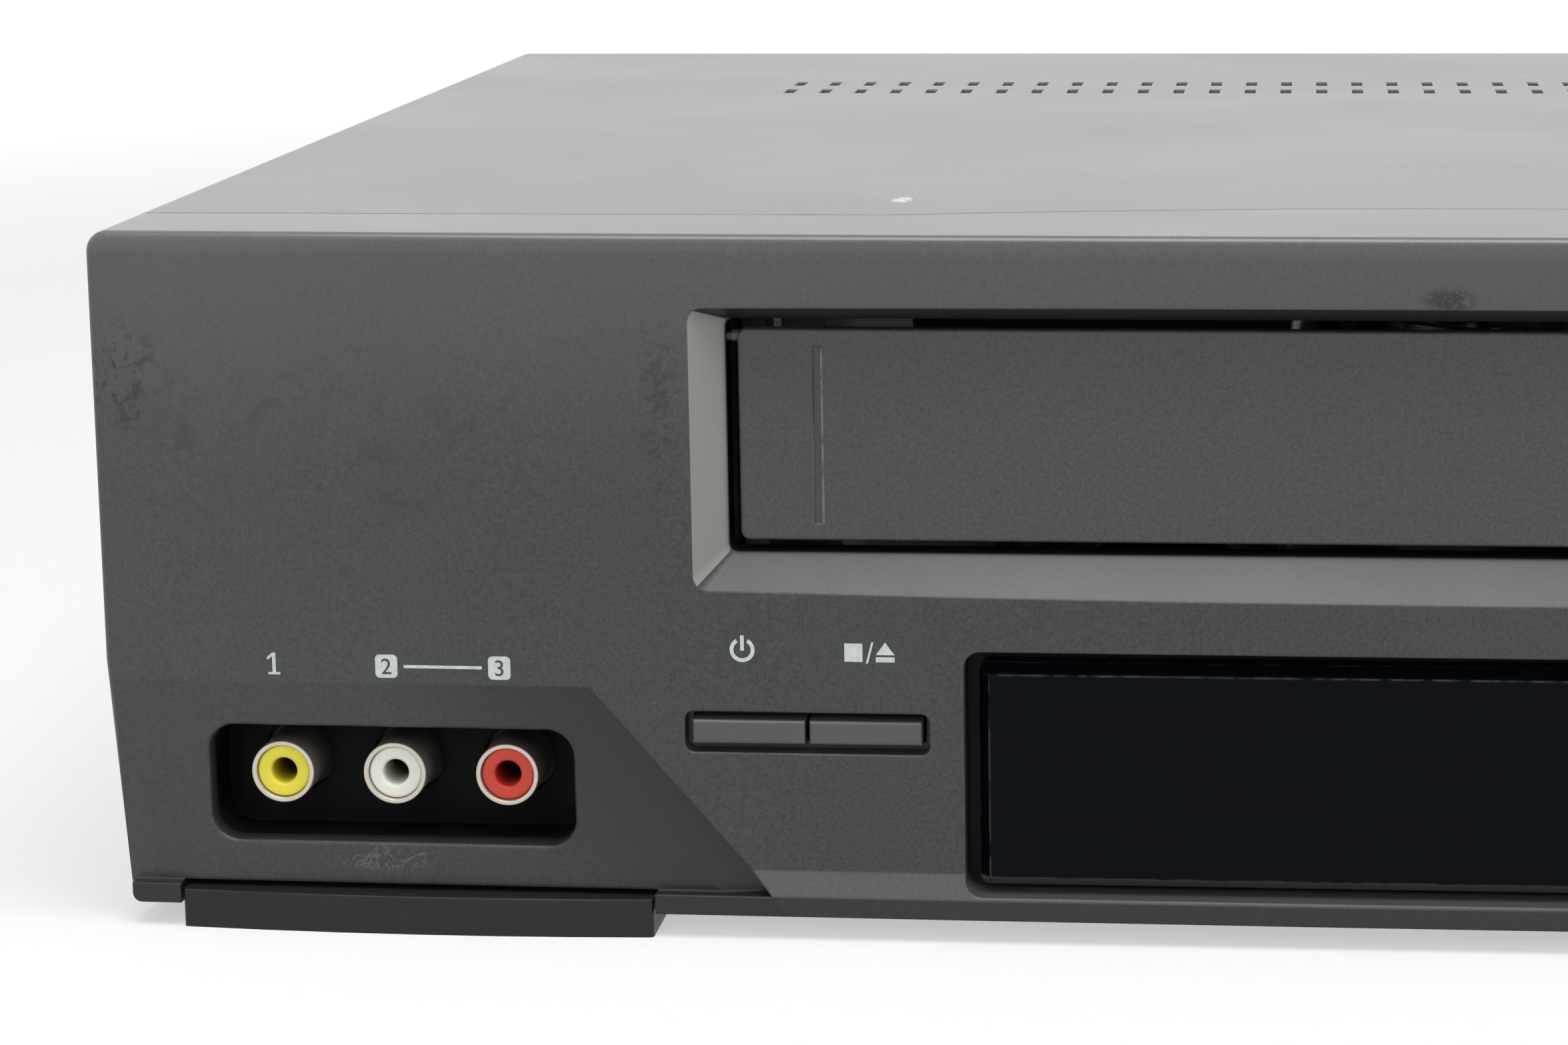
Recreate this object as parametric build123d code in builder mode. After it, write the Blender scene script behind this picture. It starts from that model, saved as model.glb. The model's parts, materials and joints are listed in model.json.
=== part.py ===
"""Front-loading video cassette recorder, millimetres.

The origin is on the floor at the middle of the footprint: +X to the right of somebody facing the
front, +Y to the rear, +Z up.  Housing, tape deck, loading lift, keys and electronics are separate pieces.
"""

from build123d import *
import os
from math import atan2, cos, degrees, hypot, pi, radians, sin, sqrt, tan

os.makedirs("parts", exist_ok=True)

# ---------------------------------------------------------------- driving sizes

# Housing
body_width = 360.0
body_height = 92.0  # floor to the top of the cover
body_depth = 270.0  # lip in front to the ends of the aerial sockets
housing_gap = 0.3  # between parts of the housing
slide_fit = 0.05  # running clearance, each side
hole_fit = 0.1  # clearance of a screw or stake in its hole, on the radius

# Front bezel
bow = 2.4  # how far the middle of the front stands ahead of its ends
bezel_depth = 20.4
bezel_wall = 2.5
front_wall = 4.0
bezel_bottom = 3.2
corner_radius = 2.75
front_edge_radius = 1.2
side_taper = 2.15
taper_start = 35.5
flange_bulge = 8.0  # the top flange reaches further back in the middle
flange_bulge_half_width = 78.0
flange_thickness = 2.9
cover_ledge = 6.0

# Lip, stripe and wings along the bottom of the bezel
lip_proud = 1.2
lip_inset = 2.7
lip_top = 5.8
stripe_bottom = 5.9
stripe_top = 9.0
crease_height = 33.0
wing_set_back = 0.7
wing_lead = 2.0  # the wings' lean is cut from this far above the crease
scoop_depth = 0.8
scoop_upper_depth = 0.08
scoop_width = 7.0
diagonal_gap = 23.2  # from the jack recess to the diagonal at the stripe's top
diagonal_slope = 0.865  # sideways for each millimetre up

# Cassette mouth and door
mouth_width = 195.5
mouth_height = 30.5
mouth_bottom = 50.3
mouth_corner = 1.2
mouth_tunnel = 9.5
mouth_wall = 3.0
bevel_depth = 5.0
bevel_side = 5.0
bevel_lower = 5.1
bevel_upper = 2.2
bevel_lead = 2.0  # the bevels are cut from this far ahead of the face
door_gap = 1.45
door_thickness = 2.0
door_set_back = 0.3
door_edge_radius = 0.4
door_pin_radius = 0.8
door_pin_root = 2.0
door_pin_reach = 2.2
door_pin_below_edge = 1.0
door_groove = 1.1
door_groove_depth = 0.35
door_groove_inset = 10.2
door_groove_margin = 2.25
door_rib_width = 1.5
door_rib_height = 1.2
door_rib_inset = 10.0
door_rib_margin = 5.0
door_rib_drop = 2.0  # keeps the ribs clear of the hinge

# Jack recess and its mirrored key recess
recess_width = 48.4
recess_height = 15.6
recess_corner = 3.6
recess_inset = 37.6  # centre from the end of the bezel
recess_z = 19.3
recess_depth = 10.0
recess_rim = 0.6
recess_wall = 2.2
key_recess_depth = 2.6
key_recess_wall = 3.4
jack_rise = 1.1  # jacks above the middle of their recess
jack_pitch = 14.9
jack_shell_radius = 4.15
jack_shell_bore = 3.5
jack_shell_chamfer = 0.35
jack_insert_bore = 1.6
jack_insert_set_back = 0.5
jack_collar_radius = 4.6
jack_collar_proud = 0.3
jack_reach = 7.8
jack_block_margin = 1.0

# Key pockets beside the window
pocket_gap_window = 4.4
pocket_gap_recess = 14.8
pocket_height = 5.5
pocket_z = 27.45
pocket_depth = 3.0
pocket_side_gap = 1.0
key_height = 3.2
key_gap = 0.5
key_clearance = 0.2
key_edge_radius = 0.5
key_travel = 1.0
key_shoulder = 1.2
key_ledge = 0.4
stem_width = 4.0
stem_height = 2.4
cluster_key_height = 5.4
cluster_row_gap = 1.6
cluster_side_gap = 1.5

# Display window
window_half_width = 67.2
window_top = 38.5
window_bottom = 6.2
window_corner = 2.2
window_depth = 5.5
window_floor = 2.2
window_opening_width = 104.0
window_opening_height = 20.0
lens_gap = 1.8
lens_lower_gap = 0.9
lens_set_back = 1.0
lens_skin = 2.0
lens_bevel = 1.35
lens_bevel_depth = 1.65
tube_width = 98.0
tube_height = 23.0
tube_depth = 5.0
tube_edge = 1.2
holder_margin = 1.0
holder_wall = 3.5

# Front board
board_thickness = 1.6
front_board_set_back = 21.5
front_board_top = 44.0
front_board_bottom = 7.0
front_board_end_gap = 7.0
switch_size = 6.0
switch_height = 3.5
plunger_radius = 1.7
plunger_length = 1.2

# Cover
cover_sheet = 1.0
cover_bottom = 6.6
rear_flange_height = 12.0
vent_width = 1.9
vent_length = 6.6
vent_pitch = 6.2
vent_row_pitch = 13.5
vent_row_setback = 187.7  # first row, behind the face
vent_count = 38
vent_rows = 2

# Base, feet and rear panel
pan_sheet = 1.0
pan_bottom = 4.0
pan_flange = 14.0
front_foot_width = 62.6
front_foot_height = 5.1
front_foot_depth = 14.0
front_foot_inset = 40.8  # centre from the end of the bezel
front_foot_arc = 1.1  # middle ahead of the lip
front_foot_gap = 0.8
front_foot_side_gap = 0.3
front_foot_edge_radius = 0.6
front_foot_pad_inset = 6.0
rear_foot_radius = 10.0
rear_foot_inset = 30.0
rear_foot_setback = 31.0
rear_foot_chamfer = 0.8
rear_foot_stem_radius = 2.5
rear_foot_stem_length = 3.0
panel_sheet = 1.2
socket_reach = 5.0  # aerial sockets beyond the cover's rear face
cooling_count = 9
cooling_pitch = 6.0
cooling_width = 2.2
cooling_height = 26.0
cooling_z = 52.0

# Screws
screw_radius = 1.5
screw_head_radius = 3.0
screw_head_height = 2.0
screw_length = 9.0

# Boards, posts and deck plate
post_radius = 4.0
board_stand_off = 4.0
board_side_gap = 6.0
board_end_gap = 4.0
board_post_inset = 20.0
board_post_end_gap = 14.0
pillar_hole_gap = 1.0
deck_sheet = 1.2
deck_height = 22.0
deck_half_width = 108.0
deck_front = -97.0
deck_rear = 100.0
deck_flange = 5.0
deck_window_width = 80.0
deck_window_depth = 12.0
deck_window_corner = 2.0
deck_window_inset = 14.0
pillar_x = 98.0
pillar_inset = 9.0
stake_proud = 1.0

# Cassette and its lift
cassette_width = 187.5
cassette_height = 25.0
cassette_rest_z = 51.2
lift_drop = 22.0
lift_slide = 62.0
cage_front = -99.0
cage_depth = 46.0
cage_sheet = 1.2
cage_side_gap = 1.0
cage_ledge = 13.0
cage_head_room = 1.3
cage_window_x = 60.0
cage_window_width = 50.0
cage_window_depth = 30.0
cage_window_corner = 2.0
cage_tongue_width = 12.0
cage_tongue_length = 22.0
cage_tongue_root = 6.0
guide_block_width = 6.0
guide_block_height = 10.0
guide_block_rise = 6.0
guide_block_short = 0.5
slider_width = 28.0
slider_thickness = 3.4
slider_side_gap = 2.4
slider_bottom = 39.0
slider_top = 80.0
slider_pin_radius = 2.0
slider_pin_spread = 10.0
slider_pin_proud = 1.0
side_plate_sheet = 1.2
side_plate_gap = 0.6
side_plate_top = 84.0
side_plate_rear = 16.0
side_plate_chamfer = 14.0
side_window_length = 70.0
side_window_height = 14.0
side_window_corner = 3.0
bridge_front = -40.0
bridge_width = 44.0
bridge_rim = 10.0

# Head drum
drum_radius = 31.0
drum_y = 43.0
drum_above_deck = 4.3
drum_tilt = 5.96
drum_base_height = 4.0
drum_base_inset = 1.0
drum_base_wall = 4.0
drum_base_reach = 12.0
lower_drum_height = 11.0
drum_gap = 0.3
upper_drum_height = 14.0
drum_rim = 4.0
drum_dish = 3.0
drum_boss_radius = 8.0
drum_hole_radius = 2.5
drum_hole_circle = 17.0
drum_hole_count = 3
drum_hole_depth = 6.0
drum_shaft_radius = 3.0
rotor_radius = 24.5
rotor_thickness = 2.8
rotor_gap = 0.7
head_count = 2
head_width = 3.0
head_length = 2.0
head_height = 1.6
head_lift = 0.4
head_notch_depth = 4.0
head_notch_side = 1.0

# Reels and idler
reel_spacing = 92.0
reel_setback = 57.0  # from the cassette's leading edge
reel_radius = 19.0
reel_flange_height = 3.3
reel_above_deck = 1.0
reel_hub_radius = 8.5
reel_hub_height = 15.8
reel_hub_chamfer = 2.5
reel_cap = 3.0
reel_pin_radius = 2.0
reel_fin_count = 3
reel_fin_reach = 3.2
reel_fin_width = 1.6
reel_fin_below_top = 4.0
idler_pivot_y = -22.0
idler_wheel_radius = 14.6
idler_wheel_height = 2.4
idler_wheel_chamfer = 0.4
idler_axle_radius = 1.5
idler_arm_sheet = 1.2
idler_play = 0.2

# Loading carriages
carriage_start_x = 30.0
carriage_start_y = -13.0
carriage_end_x = 41.0
carriage_end_y = 48.0
carriage_length = 15.0
carriage_width = 12.0
carriage_height = 3.4
carriage_corner = 2.0
carriage_stem_radius = 2.5
carriage_washer_radius = 5.0
carriage_washer_sheet = 1.5
roller_radius = 3.0
roller_pin_radius = 1.0
roller_collar_radius = 2.0
roller_forward = 3.5
slant_post_radius = 1.4
slant_post_angle = 14.0
slant_post_back = 2.0
slant_post_root = 0.5

# Tape path pieces
tape_bottom = 34.5  # lower end of the rollers
tape_top = 49.0
post_top = 50.2
guide_post_places = ((-54.0, 12.0), (50.0, 6.0), (-72.0, -8.0))
guide_post_radius = 2.2
guide_flange_radius = 3.6
guide_flange_height = 1.2
erase_head_place = (-60.0, 34.0)
erase_head_size = (10.0, 8.0)
erase_head_below_top = 1.5
sound_head_place = (57.0, 32.0)
sound_head_base = (12.0, 12.0)
sound_head_base_height = 5.0
sound_head_size = (9.0, 7.0)
sound_head_forward = 2.0
head_corner = 1.5
capstan_x = 66.0
capstan_y = 14.0
capstan_radius = 1.5
bearing_radius = 4.0
bearing_height = 9.0
bearing_flange_radius = 7.0
bearing_flange_height = 1.5
flywheel_radius = 25.0
flywheel_height = 5.0
flywheel_bottom = 13.0
flywheel_rim = 3.0
flywheel_hollow = 2.0
flywheel_gap = 0.4
stator_gap = 0.8
stator_bore = 6.0
pinch_pivot_x = 90.0
pinch_pivot_y = 30.0
pinch_hub_radius = 5.0
pinch_arm_lift = 2.0
pinch_roller_radius = 6.5
pinch_axle_radius = 1.5
pinch_collar_radius = 3.0
pinch_play = 0.2
pinch_swing = 35.0
pinch_closed_gap = 0.3
pinch_closed_angle = 45.0
tension_pivot_x = -78.0
tension_pivot_y = 22.0
tension_post_x = -60.0
tension_post_y = -6.0
tension_post_radius = 1.5
tension_arm_lift = 1.0
tension_tip_radius = 2.5
arm_sheet = 1.5
arm_half_width = 4.0

# Loading gears
gear_module = 1.0
gear_pressure_angle = 20.0
gear_addendum = 0.9
gear_dedendum = 1.2
cam_teeth = 40
pinion_teeth = 12
gear_backlash = 0.35
gear_height = 5.0
gear_above_deck = 1.0
cam_track_outer = 5.0
cam_track_width = 3.5
cam_track_depth = 2.5
cam_x = -78.0
cam_y = 68.0
motor_radius = 12.0
motor_stand_off = 1.0
motor_shaft_radius = 1.0
shaft_hole_gap = 1.0

# Power supply and rear sockets
transformer_gap = 12.0
transformer_rear_gap = 2.5
core_depth = 42.0
core_height = 40.0
core_limb = 9.0
core_yoke = 7.0
winding_overhang = 7.0
winding_radius = 3.0
capacitor_radius = 9.0
capacitor_height = 32.0
capacitor_chamfer = 1.0
capacitor_gap = 6.0
socket_proud = 0.5
scart_spacing = 56.0
scart_width = 47.0
scart_height = 13.0
scart_depth = 16.0
scart_wall = 2.0
scart_back = 5.0
scart_tongue_inset = 4.5
scart_tongue = 3.0
tuner_gap = 5.0
tuner_depth = 50.0
tuner_height = 26.0
tuner_corner = 1.0
aerial_spacing = 30.0
aerial_radius = 4.75
aerial_collar_radius = 6.0
aerial_bore = 3.6
aerial_centre = 1.2
aerial_well = 11.0
inlet_width = 25.0
inlet_height = 15.0
inlet_depth = 18.0
inlet_well_width = 15.6
inlet_well_height = 8.6
inlet_well_depth = 12.0
inlet_pin_spacing = 8.0
inlet_pin_radius = 1.2

# ---------------------------------------------------------------- derived places

half_width = body_width / 2
front_y = -body_depth / 2
rear_y = body_depth / 2
face_y = front_y + lip_proud
bow_radius = (half_width**2 + bow**2) / (2 * bow)
bow_centre_y = face_y + bow_radius
bezel_back = face_y + bezel_depth
cover_rear = rear_y - socket_reach
panel_back = cover_rear - cover_sheet
panel_front = panel_back - panel_sheet
cover_under = body_height - cover_sheet

recess_x = half_width - recess_inset
jack_z = recess_z + jack_rise
diagonal_x = recess_x - recess_width / 2 - diagonal_gap  # at the stripe's top
front_foot_x = half_width - front_foot_inset
pocket_width = (
    recess_x - recess_width / 2 - pocket_gap_recess - window_half_width - pocket_gap_window
)
pocket_x = window_half_width + pocket_gap_window + pocket_width / 2
window_z = (window_top + window_bottom) / 2

mouth_z = mouth_bottom + mouth_height / 2
door_width = mouth_width - 2 * door_gap
door_height = mouth_height - 2 * door_gap
door_front = face_y + bevel_depth + door_set_back
door_back = door_front + door_thickness
hinge_y = (door_front + door_back) / 2
hinge_z = mouth_z + door_height / 2 - door_pin_below_edge

pan_top = pan_bottom + pan_sheet
pan_front = bezel_back + housing_gap
pan_half_width = half_width - side_taper - cover_sheet - housing_gap
main_board_bottom = pan_top + board_stand_off
main_board_top = main_board_bottom + board_thickness
deck_top = deck_height + deck_sheet
front_board_y = face_y + front_board_set_back
side_bay_x = (half_width + deck_half_width) / 2  # middle of the space beside the deck
pillar_places = (
    (-pillar_x, deck_front + pillar_inset),
    (pillar_x, deck_front + pillar_inset),
    (-pillar_x, deck_rear - pillar_inset),
    (pillar_x, deck_rear - pillar_inset),
)

cage_rear = cage_front + cage_depth
cage_half_width = cassette_width / 2 + cage_side_gap
cage_outer = cage_half_width + cage_sheet
cage_top = cassette_rest_z + cassette_height + cage_head_room
slider_inner = cage_outer + slider_side_gap
slider_outer = slider_inner + slider_thickness
plate_inner = slider_outer + side_plate_gap
plate_outer = plate_inner + side_plate_sheet
lift_y = cage_front + cage_depth / 2
lift_z = cassette_rest_z + cassette_height / 2 + guide_block_rise
loaded_leading_edge = cage_rear - cage_sheet + lift_slide

reel_y = loaded_leading_edge - reel_setback
reel_bottom = deck_top + reel_above_deck
reel_hub_top = reel_bottom + reel_hub_height
gear_bottom = deck_top + gear_above_deck
cam_pitch_radius = gear_module * cam_teeth / 2
pinion_pitch_radius = gear_module * pinion_teeth / 2
pinion_y = cam_y + cam_pitch_radius + pinion_pitch_radius
idler_arm_bottom = deck_top + housing_gap
pinch_arm_bottom = deck_top + pinch_arm_lift
tension_arm_bottom = deck_top + tension_arm_lift
pinch_reach = capstan_radius + pinch_roller_radius + pinch_closed_gap
pinch_closed_x = capstan_x + pinch_reach * cos(radians(pinch_closed_angle))
pinch_closed_y = capstan_y + pinch_reach * sin(radians(pinch_closed_angle))


# ---------------------------------------------------------------- helpers


def bow_at(x):
    """How far the bowed front lies behind its middle at x."""
    return bow_radius - sqrt(bow_radius**2 - x**2)


def facing(y):
    """Plane at depth y seen from the front: local x is +X, local y is +Z, positive goes forward."""
    return Plane.XZ.offset(-y)


def diagonal_at(z):
    """Half width of the middle panel where the diagonal crosses height z."""
    return diagonal_x + (z - stripe_top) * diagonal_slope


def bowed_plan(half, front, back):
    """Plan outline with the bowed front edge and a straight back edge."""
    with BuildSketch() as plan:
        with BuildLine():
            ThreePointArc((-half, front + bow_at(half)), (0, front), (half, front + bow_at(half)))
            Polyline(
                (half, front + bow_at(half)), (half, back), (-half, back), (-half, front + bow_at(half))
            )
        make_face()
    return plan.sketch


def gear_outline(teeth, turn):
    """Spur gear with straight flanks, one tooth centred on the angle turn."""
    pitch_radius = gear_module * teeth / 2
    flank = tan(radians(gear_pressure_angle))
    half_tooth = (pi * gear_module / 2 - gear_backlash) / 2
    tip = gear_addendum * gear_module
    root = -gear_dedendum * gear_module
    corners = []
    for tooth in range(teeth):
        centre = 2 * pi * tooth / teeth + radians(turn)
        for height, side in ((root, -1), (tip, -1), (tip, 1), (root, 1)):
            radius = pitch_radius + height
            angle = centre + side * (half_tooth - height * flank) / radius
            corners.append((radius * cos(angle), radius * sin(angle)))
    with BuildSketch() as outline:
        with BuildLine():
            Polyline(*corners, close=True)
        make_face()
    return outline.sketch


def keep(piece, name):
    """Label a finished piece and write its file."""
    piece.part.label = name
    export_step(piece.part, f"parts/{name}.step")


# ---------------------------------------------------------------- front bezel

recess_floor_y = face_y + bow_at(recess_x) + recess_depth
key_recess_floor_y = face_y + bow_at(recess_x) + key_recess_depth
pocket_floor_y = face_y + bow_at(pocket_x) + pocket_depth
window_floor_y = face_y + window_depth
foot_notch_top = front_foot_height + front_foot_gap
foot_back = front_y + bow_at(front_foot_x) + front_foot_depth

# Lower lip: between the diagonals it carries the stripe, a slope that faces up
lip_end = half_width - lip_inset
lip_root = front_wall / 2  # how far the lip reaches into the wall
stripe_rise = (stripe_top - stripe_bottom) / lip_proud
with BuildPart() as lower_lip:
    with BuildSketch(Plane.YZ):
        with BuildLine():
            Polyline(
                (face_y + lip_root, bezel_bottom),
                (front_y, bezel_bottom),
                (front_y, stripe_bottom),
                (face_y + lip_root, stripe_top + lip_root * stripe_rise),
                close=True,
            )
        make_face()
    revolve(
        axis=Axis((0, bow_centre_y, 0), (0, 0, 1)),
        revolution_arc=degrees(half_width / bow_radius),
    )
    mirror(about=Plane.YZ)
    # outside the diagonals only the lip stays, rounded at its ends
    with BuildSketch(facing(bezel_back)):
        with BuildLine():
            Polyline(
                (-lip_end, bezel_bottom),
                (-lip_end, lip_top),
                (-diagonal_at(lip_top), lip_top),
                (-diagonal_at(crease_height), crease_height),
                (diagonal_at(crease_height), crease_height),
                (diagonal_at(lip_top), lip_top),
                (lip_end, lip_top),
                (lip_end, bezel_bottom),
                close=True,
            )
        make_face()
        lower_corners = vertices().group_by(Axis.Y)[0]
        fillet(lower_corners, radius=lip_proud)
    extrude(amount=2 * bezel_depth, mode=Mode.INTERSECT)

# Wings: below the crease the outer face leans back, out to each side of the diagonals
wing_lean = wing_set_back / (crease_height - lip_top)
wing_cut_top = crease_height + wing_lead
wing_drop = wing_cut_top - lip_top
wing_end = half_width + front_wall
wing_middle_y = face_y - wing_lead * wing_lean
wing_end_y = wing_middle_y + bow_at(wing_end)
with BuildPart() as wing_cut:
    with BuildSketch(Plane.XY.offset(wing_cut_top)):
        with BuildLine():
            ThreePointArc((-wing_end, wing_end_y), (0, wing_middle_y), (wing_end, wing_end_y))
            Polyline(
                (wing_end, wing_end_y),
                (wing_end, front_y - front_wall),
                (-wing_end, front_y - front_wall),
                (-wing_end, wing_end_y),
            )
        make_face()
    extrude(amount=hypot(wing_drop, wing_drop * wing_lean), dir=(0, wing_lean, -1))
    with BuildSketch(facing(bezel_back)):
        for side in (-1, 1):
            with BuildLine():
                Polyline(
                    (side * diagonal_at(lip_top), lip_top),
                    (side * diagonal_at(wing_cut_top), wing_cut_top),
                    (side * wing_end, wing_cut_top),
                    (side * wing_end, lip_top),
                    close=True,
                )
            make_face()
    extrude(amount=2 * bezel_depth, mode=Mode.INTERSECT)


def scoop(side):
    """Shallow hollow beside a diagonal, deepest at the edge and fading out away from it."""
    with BuildPart() as hollow:
        for z, back, depth in (
            (lip_top, wing_set_back, scoop_depth),
            (crease_height, 0.0, scoop_upper_depth),
        ):
            inner = side * diagonal_at(z)
            outer = side * (diagonal_at(z) + scoop_width)
            with BuildSketch(Plane.XY.offset(z)):
                with BuildLine():
                    Polyline(
                        (outer, face_y + bow_at(outer) + back),
                        (inner, face_y + bow_at(inner) + back + depth),
                        (inner, front_y - front_wall),
                        (outer, front_y - front_wall),
                        close=True,
                    )
                make_face()
        loft(ruled=True)
    return hollow.part


# Mouth for the cassette: four bevels lead in to a straight tunnel
bevel_scale = (bevel_depth + bevel_lead) / bevel_depth
with BuildPart() as mouth_cut:
    with BuildSketch(facing(face_y + bevel_depth)):
        with Locations((0, mouth_z)):
            RectangleRounded(mouth_width, mouth_height, mouth_corner)
    with BuildSketch(facing(face_y - bevel_lead)):
        with Locations((0, mouth_z + (bevel_upper - bevel_lower) * bevel_scale / 2)):
            RectangleRounded(
                mouth_width + 2 * bevel_side * bevel_scale,
                mouth_height + (bevel_lower + bevel_upper) * bevel_scale,
                2 * mouth_corner,
            )
    loft(ruled=True)
    with BuildSketch(facing(face_y + bevel_depth)):
        with Locations((0, mouth_z)):
            RectangleRounded(mouth_width, mouth_height, mouth_corner)
    extrude(amount=-(mouth_tunnel + front_wall))

# Walls that stay solid round each pocket: centre, width, height and back
mouth_outer = (mouth_width + 2 * mouth_wall, mouth_height + 2 * mouth_wall)
recess_outer = (recess_width + 2 * recess_wall, recess_height + 2 * recess_wall)
pocket_outer = (pocket_width + 2 * recess_wall, pocket_height + 2 * recess_wall)
window_outer = (2 * (window_half_width + recess_wall), window_top - window_bottom + 2 * recess_wall)
foot_outer = (front_foot_width + 4 * recess_wall, foot_notch_top + recess_wall)
foot_wall_z = foot_outer[1] / 2
pocket_walls = (
    (0, mouth_z, *mouth_outer, face_y + mouth_tunnel),
    (-recess_x, recess_z, *recess_outer, recess_floor_y + recess_wall),
    (recess_x, recess_z, *recess_outer, key_recess_floor_y + key_recess_wall),
    (-pocket_x, pocket_z, *pocket_outer, pocket_floor_y + recess_wall),
    (pocket_x, pocket_z, *pocket_outer, pocket_floor_y + recess_wall),
    (0, window_z, *window_outer, window_floor_y + window_floor),
    (-front_foot_x, foot_wall_z, *foot_outer, foot_back + recess_wall),
    (front_foot_x, foot_wall_z, *foot_outer, foot_back + recess_wall),
)

# The hollow behind the front, less those walls
inner_half_width = half_width - side_taper - bezel_wall
with BuildPart() as bezel_hollow:
    with BuildSketch(Plane.XY.offset(bezel_bottom + bezel_wall)):
        add(bowed_plan(inner_half_width, face_y + front_wall, rear_y))
    extrude(amount=body_height - flange_thickness - bezel_bottom - bezel_wall)
    for x, z, width, height, back in pocket_walls:
        with BuildSketch(facing(back)):
            with Locations((x, z)):
                Rectangle(width, height)
        extrude(amount=back - front_y, mode=Mode.SUBTRACT)

with BuildPart() as front_bezel:
    with BuildSketch(Plane.XY.offset(bezel_bottom)):
        add(bowed_plan(half_width, face_y, bezel_back))
    extrude(amount=body_height - bezel_bottom)
    # the ends lean in below taper_start
    with BuildSketch(facing(bezel_back + cover_ledge)):
        for side in (-1, 1):
            with BuildLine():
                Polyline(
                    (side * half_width, taper_start),
                    (side * (half_width - side_taper), bezel_bottom),
                    (side * (half_width + front_wall), bezel_bottom),
                    (side * (half_width + front_wall), taper_start),
                    close=True,
                )
            make_face()
    extrude(amount=2 * bezel_depth + cover_ledge, mode=Mode.SUBTRACT)
    fillet(
        front_bezel.edges().filter_by(Axis.Y).group_by(Axis.Z)[-1],
        radius=corner_radius,
    )
    face_edges = front_bezel.faces().sort_by(Axis.Y)[0].edges()
    fillet(
        face_edges.filter_by(lambda edge: edge.center().Z > bezel_bottom + bezel_wall),
        radius=front_edge_radius,
    )
    # top flange bulges to the rear and carries a ledge for the cover
    with BuildSketch(Plane.XY.offset(body_height - flange_thickness)):
        with BuildLine():
            ThreePointArc(
                (-flange_bulge_half_width, bezel_back),
                (0, bezel_back + flange_bulge),
                (flange_bulge_half_width, bezel_back),
            )
            Line((flange_bulge_half_width, bezel_back), (-flange_bulge_half_width, bezel_back))
        make_face()
    extrude(amount=flange_thickness)
    with BuildSketch(Plane.XY.offset(body_height - flange_thickness)):
        with BuildLine():
            ledge_half = flange_bulge_half_width + cover_ledge
            ThreePointArc(
                (-ledge_half, bezel_back + cover_ledge),
                (0, bezel_back + flange_bulge + cover_ledge),
                (ledge_half, bezel_back + cover_ledge),
            )
            Polyline(
                (ledge_half, bezel_back + cover_ledge),
                (half_width - corner_radius - 2 * cover_sheet, bezel_back + cover_ledge),
                (half_width - corner_radius - 2 * cover_sheet, bezel_back - bezel_wall),
                (-half_width + corner_radius + 2 * cover_sheet, bezel_back - bezel_wall),
                (-half_width + corner_radius + 2 * cover_sheet, bezel_back + cover_ledge),
                (-ledge_half, bezel_back + cover_ledge),
            )
        make_face()
    extrude(amount=flange_thickness - cover_sheet)
    add(bezel_hollow.part, mode=Mode.SUBTRACT)
    add(lower_lip.part)
    add(wing_cut.part, mode=Mode.SUBTRACT)
    add(scoop(-1), mode=Mode.SUBTRACT)
    add(scoop(1), mode=Mode.SUBTRACT)
    add(mouth_cut.part, mode=Mode.SUBTRACT)
    # recess for the jacks on the left, shallower one for keys on the right
    for side, floor_y in ((-1, recess_floor_y), (1, key_recess_floor_y)):
        with BuildSketch(facing(floor_y)):
            with Locations((side * recess_x, recess_z)):
                RectangleRounded(recess_width, recess_height, recess_corner)
        extrude(amount=floor_y - front_y + lip_proud, mode=Mode.SUBTRACT)
    rim_edges = front_bezel.edges().filter_by(
        lambda edge: abs(edge.center().X + recess_x) < recess_width / 2 + recess_rim
        and abs(edge.center().Z - recess_z) < recess_height / 2 + recess_rim
        and edge.center().Y < recess_floor_y - recess_depth / 2
    )
    fillet(rim_edges, radius=recess_rim)
    # holes for the jack shells
    with BuildSketch(facing(recess_floor_y + recess_wall)):
        with Locations((-recess_x, jack_z)):
            with GridLocations(jack_pitch, 0, 3, 1):
                Circle(jack_collar_radius + hole_fit)
    extrude(amount=2 * recess_wall, mode=Mode.SUBTRACT)
    # key pockets beside the window, each with one slot through its floor
    for side in (-1, 1):
        with BuildSketch(facing(pocket_floor_y)):
            with Locations((side * pocket_x, pocket_z)):
                RectangleRounded(pocket_width, pocket_height, front_edge_radius)
        extrude(amount=pocket_depth + bow, mode=Mode.SUBTRACT)
        with BuildSketch(facing(pocket_floor_y + recess_wall)):
            with Locations((side * pocket_x, pocket_z)):
                Rectangle(
                    pocket_width - 2 * (pocket_side_gap - key_clearance),
                    key_height + 2 * key_clearance,
                )
        extrude(amount=recess_wall, mode=Mode.SUBTRACT)
    # two slots for the rows of keys in the right recess
    for row in (-1, 1):
        row_z = recess_z + row * (cluster_key_height + cluster_row_gap) / 2
        with BuildSketch(facing(key_recess_floor_y + key_recess_wall)):
            with Locations((recess_x, row_z)):
                Rectangle(
                    recess_width - 2 * (cluster_side_gap - key_clearance),
                    cluster_key_height + 2 * key_clearance,
                )
        extrude(amount=key_recess_wall, mode=Mode.SUBTRACT)
    # window pocket and the opening behind the lens
    with BuildSketch(facing(window_floor_y)):
        with Locations((0, window_z)):
            RectangleRounded(2 * window_half_width, window_top - window_bottom, window_corner)
    extrude(amount=window_depth + bow, mode=Mode.SUBTRACT)
    with BuildSketch(facing(window_floor_y + window_floor)):
        with Locations((0, window_z)):
            Rectangle(window_opening_width, window_opening_height)
    extrude(amount=window_floor, mode=Mode.SUBTRACT)
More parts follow.
